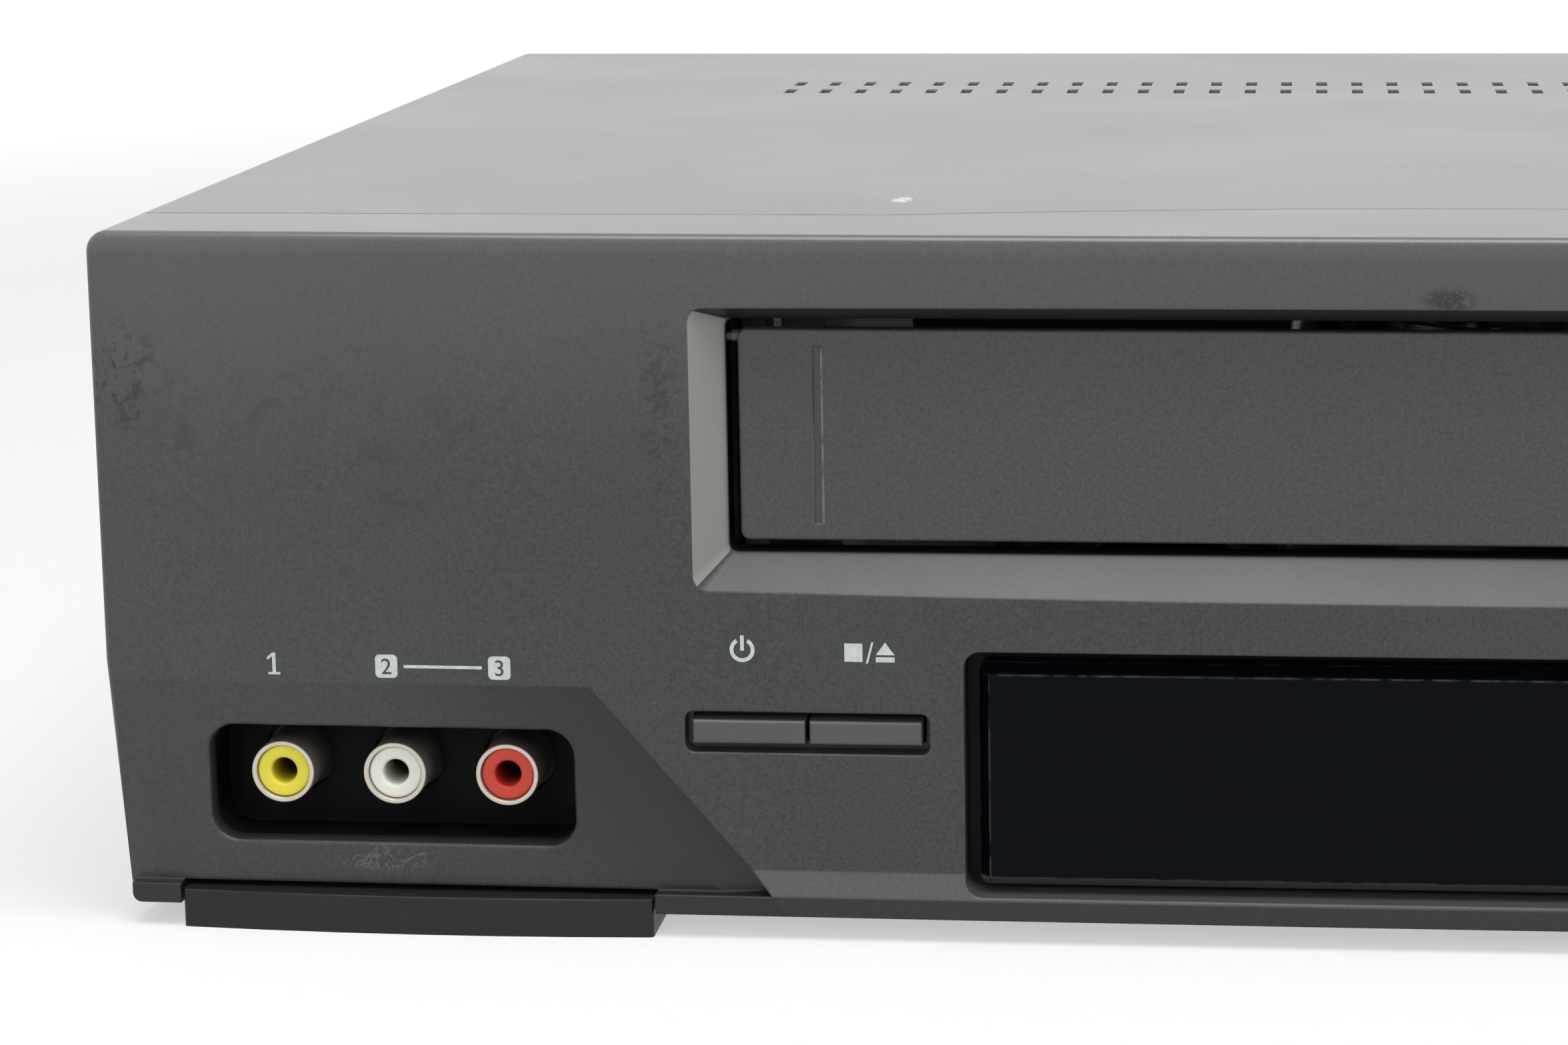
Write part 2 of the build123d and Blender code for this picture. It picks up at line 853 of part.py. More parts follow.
    # notches for the front feet
    for side in (-1, 1):
        with BuildSketch(facing(foot_back + housing_gap)):
            with Locations((side * front_foot_x, foot_notch_top / 2)):
                Rectangle(front_foot_width + 2 * front_foot_side_gap, foot_notch_top)
        extrude(amount=front_foot_depth + bow, mode=Mode.SUBTRACT)
    # holes for the door's pins
    with BuildSketch(Plane.YZ):
        with Locations((hinge_y, hinge_z)):
            Circle(door_pin_radius + slide_fit)
    extrude(amount=mouth_width / 2 + door_pin_reach, both=True, mode=Mode.SUBTRACT)
keep(front_bezel, "front_bezel")

# ---------------------------------------------------------------- cassette door

door_rib_length = door_width - 2 * door_rib_inset
door_rib_rise = door_height - 2 * door_rib_margin
with BuildPart() as cassette_door:
    with BuildSketch(facing(door_back)):
        with Locations((0, mouth_z)):
            RectangleRounded(door_width, door_height, mouth_corner)
    extrude(amount=door_thickness)
    fillet(cassette_door.faces().sort_by(Axis.Y)[0].edges(), radius=door_edge_radius)
    for side in (-1, 1):
        with BuildSketch(facing(door_front + door_groove_depth)):
            with Locations((side * (door_width / 2 - door_groove_inset), mouth_z)):
                Rectangle(door_groove, door_height - 2 * door_groove_margin)
        extrude(amount=door_thickness, mode=Mode.SUBTRACT)
    # stiffening ribs on the back, clear of the hinge
    with BuildSketch(facing(door_back + door_rib_height)):
        with Locations((0, mouth_z - door_rib_drop)):
            with GridLocations(door_rib_length, 0, 2, 1):
                Rectangle(door_rib_width, door_rib_rise)
            with GridLocations(0, door_rib_rise - door_rib_width, 1, 2):
                Rectangle(door_rib_length, door_rib_width)
    extrude(amount=door_rib_height)
    # hinge pins, thicker than the door's plate
    for side in (-1, 1):
        with BuildSketch(Plane.YZ.offset(side * (door_width / 2 - door_pin_root))):
            with Locations((hinge_y, hinge_z)):
                Circle(door_pin_radius)
        extrude(amount=side * (door_pin_root + door_gap + door_pin_reach - housing_gap))
keep(cassette_door, "cassette_door")

# ---------------------------------------------------------------- display window and tube

lens_half_width = window_half_width - lens_gap
lens_top = window_top - lens_gap
lens_bottom = window_bottom + lens_lower_gap
lens_front = face_y + lens_set_back
with BuildPart() as display_lens:
    with BuildSketch(facing(window_floor_y)):
        with Locations((0, (lens_top + lens_bottom) / 2)):
            RectangleRounded(2 * lens_half_width, lens_top - lens_bottom, lens_bevel)
    extrude(amount=window_floor_y - lens_front)
    with BuildSketch(facing(window_floor_y)):
        with Locations((0, window_z)):
            Rectangle(window_opening_width, window_opening_height)
    extrude(amount=window_floor_y - lens_front - lens_skin, mode=Mode.SUBTRACT)
    lower_edge = display_lens.faces().sort_by(Axis.Y)[0].edges().sort_by(Axis.Z)[0]
    chamfer(lower_edge, length=lens_bevel, length2=lens_bevel_depth)
keep(display_lens, "display_lens")

tube_front = window_floor_y + window_floor + housing_gap
with BuildPart() as display_tube:
    with BuildSketch(facing(tube_front + tube_depth)):
        with Locations((0, window_z)):
            Rectangle(tube_width, tube_height)
    extrude(amount=tube_depth)
    chamfer(display_tube.faces().sort_by(Axis.Y)[0].edges(), length=tube_edge)
keep(display_tube, "display_tube")

with BuildPart() as display_holder:
    with BuildSketch(facing(front_board_y)):
        with Locations((0, window_z)):
            Rectangle(tube_width + 2 * holder_margin, tube_height + 2 * holder_margin)
            Rectangle(tube_width - 2 * holder_wall, tube_height - 2 * holder_wall, mode=Mode.SUBTRACT)
    extrude(amount=front_board_y - tube_front - tube_depth)
keep(display_holder, "display_holder")

# ---------------------------------------------------------------- keys, switches and front board

key_width = (pocket_width - 2 * pocket_side_gap - key_gap) / 2
cluster_width = recess_width - 2 * cluster_side_gap
cluster_key_width = (cluster_width - 2 * key_gap) / 3
upper_row_z = recess_z + (cluster_key_height + cluster_row_gap) / 2
lower_row_z = recess_z - (cluster_key_height + cluster_row_gap) / 2
key_face = face_y + bow_at(pocket_x)
cluster_face = face_y + bow_at(recess_x) + wing_set_back / 2
pocket_back = pocket_floor_y + recess_wall
cluster_back = key_recess_floor_y + key_recess_wall
switch_front = front_board_y - switch_height - plunger_length
stem_end = switch_front - key_travel - hole_fit

pocket_size = (key_width, key_height)
cluster_size = (cluster_key_width, cluster_key_height)
pocket_step = (key_width + key_gap) / 2
cluster_step = cluster_key_width + key_gap
keys = (
    ("standby_key", -pocket_x - pocket_step, pocket_z, *pocket_size, key_face, pocket_back),
    ("stop_eject_key", -pocket_x + pocket_step, pocket_z, *pocket_size, key_face, pocket_back),
    ("channel_down_key", pocket_x - pocket_step, pocket_z, *pocket_size, key_face, pocket_back),
    ("channel_up_key", pocket_x + pocket_step, pocket_z, *pocket_size, key_face, pocket_back),
    ("play_key", recess_x, upper_row_z, cluster_width, cluster_key_height, cluster_face, cluster_back),
    ("rewind_key", recess_x - cluster_step, lower_row_z, *cluster_size, cluster_face, cluster_back),
    ("record_key", recess_x, lower_row_z, *cluster_size, cluster_face, cluster_back),
    ("forward_key", recess_x + cluster_step, lower_row_z, *cluster_size, cluster_face, cluster_back),
)

for name, x, z, width, height, front, floor_back in keys:
    shoulder_back = floor_back + hole_fit + key_shoulder
    with BuildPart() as key:
        with BuildSketch(facing(shoulder_back)):
            with Locations((x, z)):
                Rectangle(width, height)
        extrude(amount=shoulder_back - front)
        fillet(key.faces().sort_by(Axis.Y)[0].edges(), radius=key_edge_radius)
        # ledge that stops the key behind the pocket's floor
        with BuildSketch(facing(shoulder_back)):
            with Locations((x, z)):
                Rectangle(width, height + 2 * (key_clearance + key_ledge))
        extrude(amount=key_shoulder)
        with BuildSketch(facing(stem_end)):
            with Locations((x, z)):
                Rectangle(stem_width, stem_height)
        extrude(amount=stem_end - shoulder_back)
    keep(key, name)

with BuildPart() as key_switches:
    for name, x, z, width, height, front, floor_back in keys:
        with BuildSketch(facing(front_board_y)):
            with Locations((x, z)):
                Rectangle(switch_size, switch_size)
        extrude(amount=switch_height)
        with BuildSketch(facing(front_board_y - switch_height)):
            with Locations((x, z)):
                Circle(plunger_radius)
        extrude(amount=plunger_length)
keep(key_switches, "key_switches")

with BuildPart() as front_board:
    with BuildSketch(facing(front_board_y + board_thickness)):
        with Locations((0, (front_board_top + front_board_bottom) / 2)):
            Rectangle(
                2 * (inner_half_width - front_board_end_gap), front_board_top - front_board_bottom
            )
    extrude(amount=board_thickness)
keep(front_board, "front_board")

# ---------------------------------------------------------------- front jacks

block_front = recess_floor_y + recess_wall
with BuildPart() as jack_block:
    with BuildSketch(facing(front_board_y)):
        with Locations((-recess_x, recess_z)):
            Rectangle(3 * jack_pitch, recess_height - 2 * jack_block_margin)
    extrude(amount=front_board_y - block_front)
keep(jack_block, "jack_block")

shell_front = recess_floor_y - jack_reach
with BuildPart() as jack_shells:
    with BuildSketch(facing(block_front)):
        with Locations((-recess_x, jack_z)):
            with GridLocations(jack_pitch, 0, 3, 1):
                Circle(jack_shell_radius)
    extrude(amount=block_front - shell_front)
    chamfer(jack_shells.edges().group_by(Axis.Y)[0], length=jack_shell_chamfer)
    # wider collar that fills the hole in the bezel
    with BuildSketch(facing(block_front)):
        with Locations((-recess_x, jack_z)):
            with GridLocations(jack_pitch, 0, 3, 1):
                Circle(jack_collar_radius)
    extrude(amount=recess_wall + jack_collar_proud)
    with BuildSketch(facing(block_front)):
        with Locations((-recess_x, jack_z)):
            with GridLocations(jack_pitch, 0, 3, 1):
                Circle(jack_shell_bore)
    extrude(amount=block_front - shell_front, mode=Mode.SUBTRACT)
keep(jack_shells, "jack_shells")

for name, column in (("yellow_insert", -1), ("white_insert", 0), ("red_insert", 1)):
    with BuildPart() as insert:
        with BuildSketch(facing(block_front)):
            with Locations((-recess_x + column * jack_pitch, jack_z)):
                Circle(jack_shell_bore - slide_fit)
                Circle(jack_insert_bore, mode=Mode.SUBTRACT)
        extrude(amount=block_front - shell_front - jack_insert_set_back)
    keep(insert, name)

# ---------------------------------------------------------------- top cover

vent_y = face_y + vent_row_setback + vent_row_pitch / 2
rear_hole_z = body_height - rear_flange_height / 2
rear_hole_pitch = body_width / 3
with BuildPart() as top_cover:
    with BuildSketch(facing(cover_rear)):
        with Locations((0, (body_height + cover_bottom) / 2)):
            Rectangle(body_width, body_height - cover_bottom)
    extrude(amount=cover_rear - bezel_back - housing_gap)
    fillet(top_cover.edges().filter_by(Axis.Y).group_by(Axis.Z)[-1], radius=corner_radius)
    with BuildSketch(facing(cover_rear - cover_sheet)):
        with Locations((0, (cover_under + cover_bottom) / 2)):
            Rectangle(body_width - 2 * cover_sheet, cover_under - cover_bottom)
        fillet(vertices().group_by(Axis.Y)[-1], radius=corner_radius - cover_sheet)
    extrude(amount=body_depth, mode=Mode.SUBTRACT)
    # only a flange of the rear wall stays
    with BuildSketch(facing(cover_rear)):
        with Locations((0, (cover_bottom + body_height - rear_flange_height) / 2)):
            Rectangle(body_width - 2 * cover_sheet, body_height - rear_flange_height - cover_bottom)
    extrude(amount=cover_sheet, mode=Mode.SUBTRACT)
    # the front edge follows the bezel's bulge
    with BuildSketch(Plane.XY.offset(cover_under)):
        with BuildLine():
            gap_half = flange_bulge_half_width + 2 * housing_gap
            ThreePointArc(
                (-gap_half, bezel_back + housing_gap),
                (0, bezel_back + flange_bulge + housing_gap),
                (gap_half, bezel_back + housing_gap),
            )
            Line((gap_half, bezel_back + housing_gap), (-gap_half, bezel_back + housing_gap))
        make_face()
    extrude(amount=cover_sheet, mode=Mode.SUBTRACT)
    # two rows of vent slots
    with BuildSketch(Plane.XY.offset(cover_under)):
        with Locations((0, vent_y)):
            with GridLocations(vent_pitch, vent_row_pitch, vent_count, vent_rows):
                Rectangle(vent_width, vent_length)
    extrude(amount=cover_sheet, mode=Mode.SUBTRACT)
    # screw holes in the rear flange
    with BuildSketch(facing(cover_rear)):
        with Locations((0, rear_hole_z)):
            with GridLocations(rear_hole_pitch, 0, 3, 1):
                Circle(screw_radius + hole_fit)
    extrude(amount=cover_sheet, mode=Mode.SUBTRACT)
keep(top_cover, "top_cover")

# ---------------------------------------------------------------- base pan, feet and rear panel

rear_foot_y = rear_y - rear_foot_setback
rear_foot_places = (
    (-half_width + rear_foot_inset, rear_foot_y),
    (half_width - rear_foot_inset, rear_foot_y),
)
board_post_x = half_width - board_post_inset
with BuildPart() as base_pan:
    with BuildSketch(Plane.XY.offset(pan_bottom)):
        with Locations((0, (pan_front + panel_back) / 2)):
            Rectangle(2 * pan_half_width, panel_back - pan_front)
    extrude(amount=pan_sheet)
    for side in (-1, 1):
        with BuildSketch(Plane.XY.offset(pan_bottom)):
            with Locations((side * (pan_half_width - pan_sheet / 2), (pan_front + panel_front) / 2)):
                Rectangle(pan_sheet, panel_front - pan_front - housing_gap)
        extrude(amount=pan_flange)
    # pillars for the deck and posts for the main board
    with BuildSketch(Plane.XY.offset(pan_top)):
        with Locations(*pillar_places):
            Circle(post_radius)
    extrude(amount=deck_height - pan_top)
    with BuildSketch(Plane.XY.offset(pan_top)):
        with Locations((0, (pan_front + panel_front) / 2)):
            with GridLocations(
                2 * board_post_x, panel_front - pan_front - 2 * board_post_end_gap, 2, 2
            ):
                Rectangle(post_radius, post_radius)
    extrude(amount=board_stand_off)
    # tapped cores of the pillars
    with BuildSketch(Plane.XY.offset(deck_height)):
        with Locations(*pillar_places):
            Circle(screw_radius)
    extrude(amount=-screw_length, mode=Mode.SUBTRACT)
    # holes for the rear feet's stems
    with BuildSketch(Plane.XY.offset(pan_bottom)):
        with Locations(*rear_foot_places):
            Circle(rear_foot_stem_radius + hole_fit)
    extrude(amount=pan_sheet, mode=Mode.SUBTRACT)
keep(base_pan, "base_pan")

with BuildPart() as front_feet:
    with BuildSketch():
        for side in (-1, 1):
            left = side * front_foot_x - front_foot_width / 2
            right = side * front_foot_x + front_foot_width / 2
            left_corner = (left, front_y + bow_at(left))
            right_corner = (right, front_y + bow_at(right))
            middle = (side * front_foot_x, front_y + bow_at(front_foot_x) - front_foot_arc)
            with BuildLine():
                ThreePointArc(left_corner, middle, right_corner)
                Polyline(right_corner, (right, foot_back), (left, foot_back), left_corner)
            make_face()
    extrude(amount=front_foot_height)
    upright_edges = front_feet.edges().filter_by(Axis.Z)
    front_corners = upright_edges.filter_by(lambda edge: edge.center().Y < face_y + bow)
    fillet(front_corners, radius=front_foot_edge_radius)
    # pads that seat under the bezel
    with BuildSketch(Plane.XY.offset(front_foot_height)):
        with Locations((0, foot_back - front_foot_depth / 4)):
            with GridLocations(2 * front_foot_x, 0, 2, 1):
                Rectangle(front_foot_width - 2 * front_foot_pad_inset, front_foot_depth / 2)
    extrude(amount=front_foot_gap)
keep(front_feet, "front_feet")

with BuildPart() as rear_feet:
    with BuildSketch():
        with Locations(*rear_foot_places):
            Circle(rear_foot_radius)
    extrude(amount=pan_bottom)
    chamfer(rear_feet.edges().group_by(Axis.Z)[0], length=rear_foot_chamfer)
    with BuildSketch(Plane.XY.offset(pan_bottom)):
        with Locations(*rear_foot_places):
            Circle(rear_foot_stem_radius)
    extrude(amount=rear_foot_stem_length)
keep(rear_feet, "rear_feet")

scart_z = main_board_top + scart_height / 2
aerial_z = main_board_top + tuner_height / 2
inlet_z = main_board_top + inlet_height / 2
with BuildPart() as rear_panel:
    with BuildSketch(facing(panel_back)):
        with Locations((0, (pan_top + cover_under) / 2)):
            Rectangle(2 * (half_width - cover_sheet - housing_gap), cover_under - pan_top - housing_gap)
        fillet(vertices().group_by(Axis.Y)[-1], radius=corner_radius)
        with Locations((0, scart_z)):
            with GridLocations(scart_spacing, 0, 2, 1):
                Rectangle(
                    scart_width + 2 * housing_gap,
                    scart_height + 2 * housing_gap,
                    mode=Mode.SUBTRACT,
                )
        with Locations((side_bay_x, aerial_z)):
            with GridLocations(aerial_spacing, 0, 2, 1):
                Circle(aerial_collar_radius + housing_gap, mode=Mode.SUBTRACT)
        with Locations((-side_bay_x, inlet_z)):
            Rectangle(inlet_width + 2 * housing_gap, inlet_height + 2 * housing_gap, mode=Mode.SUBTRACT)
        with Locations((0, rear_hole_z)):
            with GridLocations(rear_hole_pitch, 0, 3, 1):
                Circle(screw_radius + hole_fit, mode=Mode.SUBTRACT)
        # cooling slots behind the power supply
        with Locations((-side_bay_x, cooling_z)):
            with GridLocations(cooling_pitch, 0, cooling_count, 1):
                Rectangle(cooling_width, cooling_height, mode=Mode.SUBTRACT)
    extrude(amount=panel_sheet)
keep(rear_panel, "rear_panel")

# ---------------------------------------------------------------- main board, power supply and rear sockets

with BuildPart() as main_board:
    with BuildSketch(Plane.XY.offset(main_board_bottom)):
        with Locations((0, (pan_front + panel_front) / 2)):
            Rectangle(
                2 * (pan_half_width - board_side_gap), panel_front - pan_front - 2 * board_end_gap
            )
        with Locations(*pillar_places):
            Circle(post_radius + pillar_hole_gap, mode=Mode.SUBTRACT)
    extrude(amount=board_thickness)
keep(main_board, "main_board")

core_width = half_width - deck_half_width - 2 * transformer_gap
winding_depth = core_depth + 2 * winding_overhang
transformer_y = cover_rear + socket_proud - inlet_depth - transformer_rear_gap - winding_depth / 2
core_z = main_board_top + core_height / 2
with BuildPart() as transformer_core:
    with BuildSketch(Plane.XY.offset(main_board_top)):
        with Locations((-side_bay_x, transformer_y)):
            Rectangle(core_width, core_depth)
    extrude(amount=core_height)
    # window for the winding
    with BuildSketch(facing(transformer_y + core_depth / 2)):
        with Locations((-side_bay_x, core_z)):
            Rectangle(core_width - 2 * core_limb, core_height - 2 * core_yoke)
    extrude(amount=core_depth, mode=Mode.SUBTRACT)
keep(transformer_core, "transformer_core")

with BuildPart() as transformer_winding:
    with BuildSketch(facing(transformer_y + winding_depth / 2)):
        with Locations((-side_bay_x, core_z)):
            Rectangle(
                core_width - 2 * core_limb - 2 * housing_gap,
                core_height - 2 * core_yoke - 2 * housing_gap,
            )
    extrude(amount=winding_depth)
    chamfer(transformer_winding.edges().filter_by(Axis.X), length=winding_radius)
keep(transformer_winding, "transformer_winding")

rear_capacitor_y = transformer_y - winding_depth / 2 - capacitor_gap - capacitor_radius
with BuildPart() as capacitors:
    with BuildSketch(Plane.XY.offset(main_board_top)):
        with Locations(
            (-side_bay_x, rear_capacitor_y),
            (-side_bay_x, rear_capacitor_y - 2 * capacitor_radius - capacitor_gap),
        ):
            Circle(capacitor_radius)
    extrude(amount=capacitor_height)
    chamfer(capacitors.edges().group_by(Axis.Z)[-1], length=capacitor_chamfer)
keep(capacitors, "capacitors")

with BuildPart() as scart_sockets:
    with BuildSketch(facing(cover_rear + socket_proud)):
        with Locations((0, scart_z)):
            with GridLocations(scart_spacing, 0, 2, 1):
                Rectangle(scart_width, scart_height)
    extrude(amount=scart_depth)
    # shaped mouth with a tongue in the middle
    with BuildSketch(facing(cover_rear + socket_proud)):
        with Locations((0, scart_z)):
            with GridLocations(scart_spacing, 0, 2, 1):
                Rectangle(scart_width - 2 * scart_wall, scart_height - 2 * scart_wall)
                Rectangle(scart_width - 2 * scart_tongue_inset, scart_tongue, mode=Mode.SUBTRACT)
    extrude(amount=scart_depth - scart_back, mode=Mode.SUBTRACT)
keep(scart_sockets, "scart_sockets")

tuner_rear = panel_front - housing_gap
with BuildPart() as tuner:
    with BuildSketch(Plane.XY.offset(main_board_top)):
        with Locations((side_bay_x, tuner_rear - tuner_depth / 2)):
            Rectangle(half_width - deck_half_width - 2 * tuner_gap, tuner_depth)
    extrude(amount=tuner_height)
    chamfer(tuner.edges().filter_by(Axis.Z), length=tuner_corner)
    # sockets step down to the standard plug size outside the panel
    for radius, end in ((aerial_collar_radius, cover_rear), (aerial_radius, rear_y)):
        with BuildSketch(facing(end)):
            with Locations((side_bay_x, aerial_z)):
                with GridLocations(aerial_spacing, 0, 2, 1):
                    Circle(radius)
        extrude(amount=end - tuner_rear)
    with BuildSketch(facing(rear_y)):
        with Locations((side_bay_x, aerial_z)):
            with GridLocations(aerial_spacing, 0, 2, 1):
                Circle(aerial_bore)
                Circle(aerial_centre, mode=Mode.SUBTRACT)
    extrude(amount=aerial_well, mode=Mode.SUBTRACT)
keep(tuner, "tuner")

with BuildPart() as mains_inlet:
    with BuildSketch(facing(cover_rear + socket_proud)):
        with Locations((-side_bay_x, inlet_z)):
            Rectangle(inlet_width, inlet_height)
    extrude(amount=inlet_depth)
    # figure-of-eight well with its two pins
    with BuildSketch(facing(cover_rear + socket_proud)):
        with Locations((-side_bay_x, inlet_z)):
            SlotOverall(inlet_well_width, inlet_well_height)
            with GridLocations(inlet_pin_spacing, 0, 2, 1):
                Circle(inlet_pin_radius, mode=Mode.SUBTRACT)
    extrude(amount=inlet_well_depth, mode=Mode.SUBTRACT)
keep(mains_inlet, "mains_inlet")

# ---------------------------------------------------------------- deck plate and screws

carriage_run = hypot(carriage_end_x - carriage_start_x, carriage_end_y - carriage_start_y)
carriage_angle = degrees(
    atan2(carriage_end_y - carriage_start_y, carriage_end_x - carriage_start_x)
)
slot_radius = carriage_stem_radius + hole_fit

with BuildPart() as deck_plate:
    with BuildSketch(Plane.XY.offset(deck_height)):
        with Locations((0, (deck_front + deck_rear) / 2)):
            Rectangle(2 * deck_half_width, deck_rear - deck_front)
        # slots for the loading carriages
        for side in (-1, 1):
            slot_x = side * (carriage_start_x + carriage_end_x) / 2
            slot_y = (carriage_start_y + carriage_end_y) / 2
            with Locations(Location((slot_x, slot_y, 0), (0, 0, side * carriage_angle))):
                SlotOverall(carriage_run + 2 * slot_radius, 2 * slot_radius, mode=Mode.SUBTRACT)
        # capstan bearing, motor shaft and screws
        with Locations((capstan_x, capstan_y)):
            Circle(bearing_radius + hole_fit, mode=Mode.SUBTRACT)
        with Locations((cam_x, pinion_y)):
            Circle(motor_shaft_radius + shaft_hole_gap, mode=Mode.SUBTRACT)
        with Locations(*pillar_places):
            Circle(screw_radius + hole_fit, mode=Mode.SUBTRACT)
        # lightening windows ahead of the reels and behind the drum
        with Locations((0, deck_front + deck_window_inset), (0, deck_rear - deck_window_inset)):
            RectangleRounded(
                deck_window_width, deck_window_depth, deck_window_corner, mode=Mode.SUBTRACT
            )
    extrude(amount=deck_sheet)
    # side flanges turned down
    with BuildSketch(Plane.XY.offset(deck_height)):
        with Locations((0, (deck_front + deck_rear) / 2)):
            with GridLocations(2 * deck_half_width - deck_sheet, 0, 2, 1):
                Rectangle(deck_sheet, deck_rear - deck_front)
    extrude(amount=-deck_flange)
    # staked pins for the reels, idler arm, cam gear, pinch arm and tension arm
    for x, y, top in (
        (-reel_spacing / 2, reel_y, reel_hub_top - reel_cap - stake_proud),
        (reel_spacing / 2, reel_y, reel_hub_top - reel_cap - stake_proud),
        (0, idler_pivot_y, idler_arm_bottom + idler_arm_sheet + stake_proud),
        (cam_x, cam_y, gear_bottom + gear_height + stake_proud),
        (pinch_pivot_x, pinch_pivot_y, pinch_arm_bottom + arm_sheet + stake_proud),
        (tension_pivot_x, tension_pivot_y, tension_arm_bottom + arm_sheet + stake_proud),
    ):
        with BuildSketch(Plane.XY.offset(deck_top)):
            with Locations((x, y)):
                Circle(reel_pin_radius)
        extrude(amount=top - deck_top)
keep(deck_plate, "deck_plate")

screw_planes = [
    Plane(origin=(x, cover_rear, rear_hole_z), z_dir=(0, 1, 0))
    for x in (-rear_hole_pitch, 0, rear_hole_pitch)
] + [Plane(origin=(x, y, deck_top), z_dir=(0, 0, 1)) for x, y in pillar_places]
with BuildPart() as screws:
    for place in screw_planes:
        with BuildSketch(place):
            Circle(screw_head_radius)
        extrude(amount=screw_head_height)
        with BuildSketch(place):
            Circle(screw_radius)
        extrude(amount=-screw_length)
keep(screws, "screws")

# ---------------------------------------------------------------- head drum

drum_axis = Plane(
    origin=(0, drum_y, deck_top + drum_above_deck),
    x_dir=(cos(radians(drum_tilt)), 0, -sin(radians(drum_tilt))),
    z_dir=(sin(radians(drum_tilt)), 0, cos(radians(drum_tilt))),
)
lower_top = drum_base_height + lower_drum_height
upper_bottom = lower_top + drum_gap
upper_top = upper_bottom + upper_drum_height
base_ring_radius = drum_radius - drum_base_inset
with BuildPart() as lower_drum:
    with BuildSketch(drum_axis.offset(drum_base_height)):
        Circle(drum_radius)
    extrude(amount=lower_drum_height)
    # ring that stands on the deck around the rotor
    with BuildSketch(drum_axis.offset(drum_base_height)):
        Circle(base_ring_radius)
        Circle(base_ring_radius - drum_base_wall, mode=Mode.SUBTRACT)
    extrude(amount=-drum_base_reach)
    with BuildSketch(drum_axis.offset(lower_top)):
        Circle(drum_shaft_radius + slide_fit)
    extrude(amount=-lower_drum_height, mode=Mode.SUBTRACT)
    split(bisect_by=Plane.XY.offset(deck_top), keep=Keep.TOP)
keep(lower_drum, "lower_drum")

with BuildPart() as upper_drum:
    with BuildSketch(drum_axis.offset(upper_bottom)):
        Circle(drum_radius)
    extrude(amount=upper_drum_height)
    # dished top with three adjusting holes
    with BuildSketch(drum_axis.offset(upper_top)):
        Circle(drum_radius - drum_rim)
        Circle(drum_boss_radius, mode=Mode.SUBTRACT)
    extrude(amount=-drum_dish, mode=Mode.SUBTRACT)
    with BuildSketch(drum_axis.offset(upper_top)):
        with PolarLocations(drum_hole_circle, drum_hole_count):
            Circle(drum_hole_radius)
    extrude(amount=-drum_hole_depth, mode=Mode.SUBTRACT)
    # notches for the heads in the lower rim
    with BuildSketch(drum_axis.offset(upper_bottom)):
        with PolarLocations(drum_radius, head_count):
            Rectangle(head_notch_depth, head_width + 2 * head_notch_side)
    extrude(amount=head_lift + head_height, mode=Mode.SUBTRACT)
    # shaft down to the rotor
    with BuildSketch(drum_axis.offset(upper_bottom)):
        Circle(drum_shaft_radius)
    extrude(amount=-(upper_bottom - drum_base_height + rotor_gap + rotor_thickness))
    with BuildSketch(drum_axis.offset(drum_base_height - rotor_gap)):
        Circle(rotor_radius)
    extrude(amount=-rotor_thickness)
keep(upper_drum, "upper_drum")

with BuildPart() as video_heads:
    with BuildSketch(drum_axis.offset(upper_bottom + head_lift)):
        with PolarLocations(drum_radius - head_length / 2, head_count):
            Rectangle(head_length, head_width)
    extrude(amount=head_height)
keep(video_heads, "video_heads")

# ---------------------------------------------------------------- reels and idler

for name, side in (("supply_reel", -1), ("take_up_reel", 1)):
    reel_place = (side * reel_spacing / 2, reel_y)
    with BuildPart() as reel:
        with BuildSketch(Plane.XY.offset(reel_bottom)):
            with Locations(reel_place):
                Circle(reel_radius)
        extrude(amount=reel_flange_height)
        with BuildSketch(Plane.XY.offset(reel_bottom)):
            with Locations(reel_place):
                Circle(reel_hub_radius)
        extrude(amount=reel_hub_height)
        chamfer(reel.edges().group_by(Axis.Z)[-1], length=reel_hub_chamfer)
        # drive fins
        with BuildSketch(Plane.XY.offset(reel_bottom)):
            with Locations(reel_place):
                with PolarLocations(reel_hub_radius, reel_fin_count):
                    Rectangle(reel_fin_reach, reel_fin_width)
        extrude(amount=reel_hub_height - reel_fin_below_top)
        with BuildSketch(Plane.XY.offset(reel_bottom)):
            with Locations(reel_place):
                Circle(reel_pin_radius + slide_fit)
        extrude(amount=reel_hub_height - reel_cap, mode=Mode.SUBTRACT)
    keep(reel, name)

idler_arm_top = idler_arm_bottom + idler_arm_sheet
with BuildPart() as idler_arm:
    with BuildSketch(Plane.XY.offset(idler_arm_bottom)):
        with Locations((0, (idler_pivot_y + reel_y) / 2)):
            SlotOverall(
                idler_pivot_y - reel_y + 2 * arm_half_width, 2 * arm_half_width, rotation=90
            )
        with Locations((0, idler_pivot_y)):
            Circle(reel_pin_radius + slide_fit, mode=Mode.SUBTRACT)
    extrude(amount=idler_arm_sheet)
    with BuildSketch(Plane.XY.offset(idler_arm_top)):
        with Locations((0, reel_y)):
            Circle(idler_axle_radius)
    extrude(amount=idler_wheel_height + 2 * idler_play)
keep(idler_arm, "idler_arm")

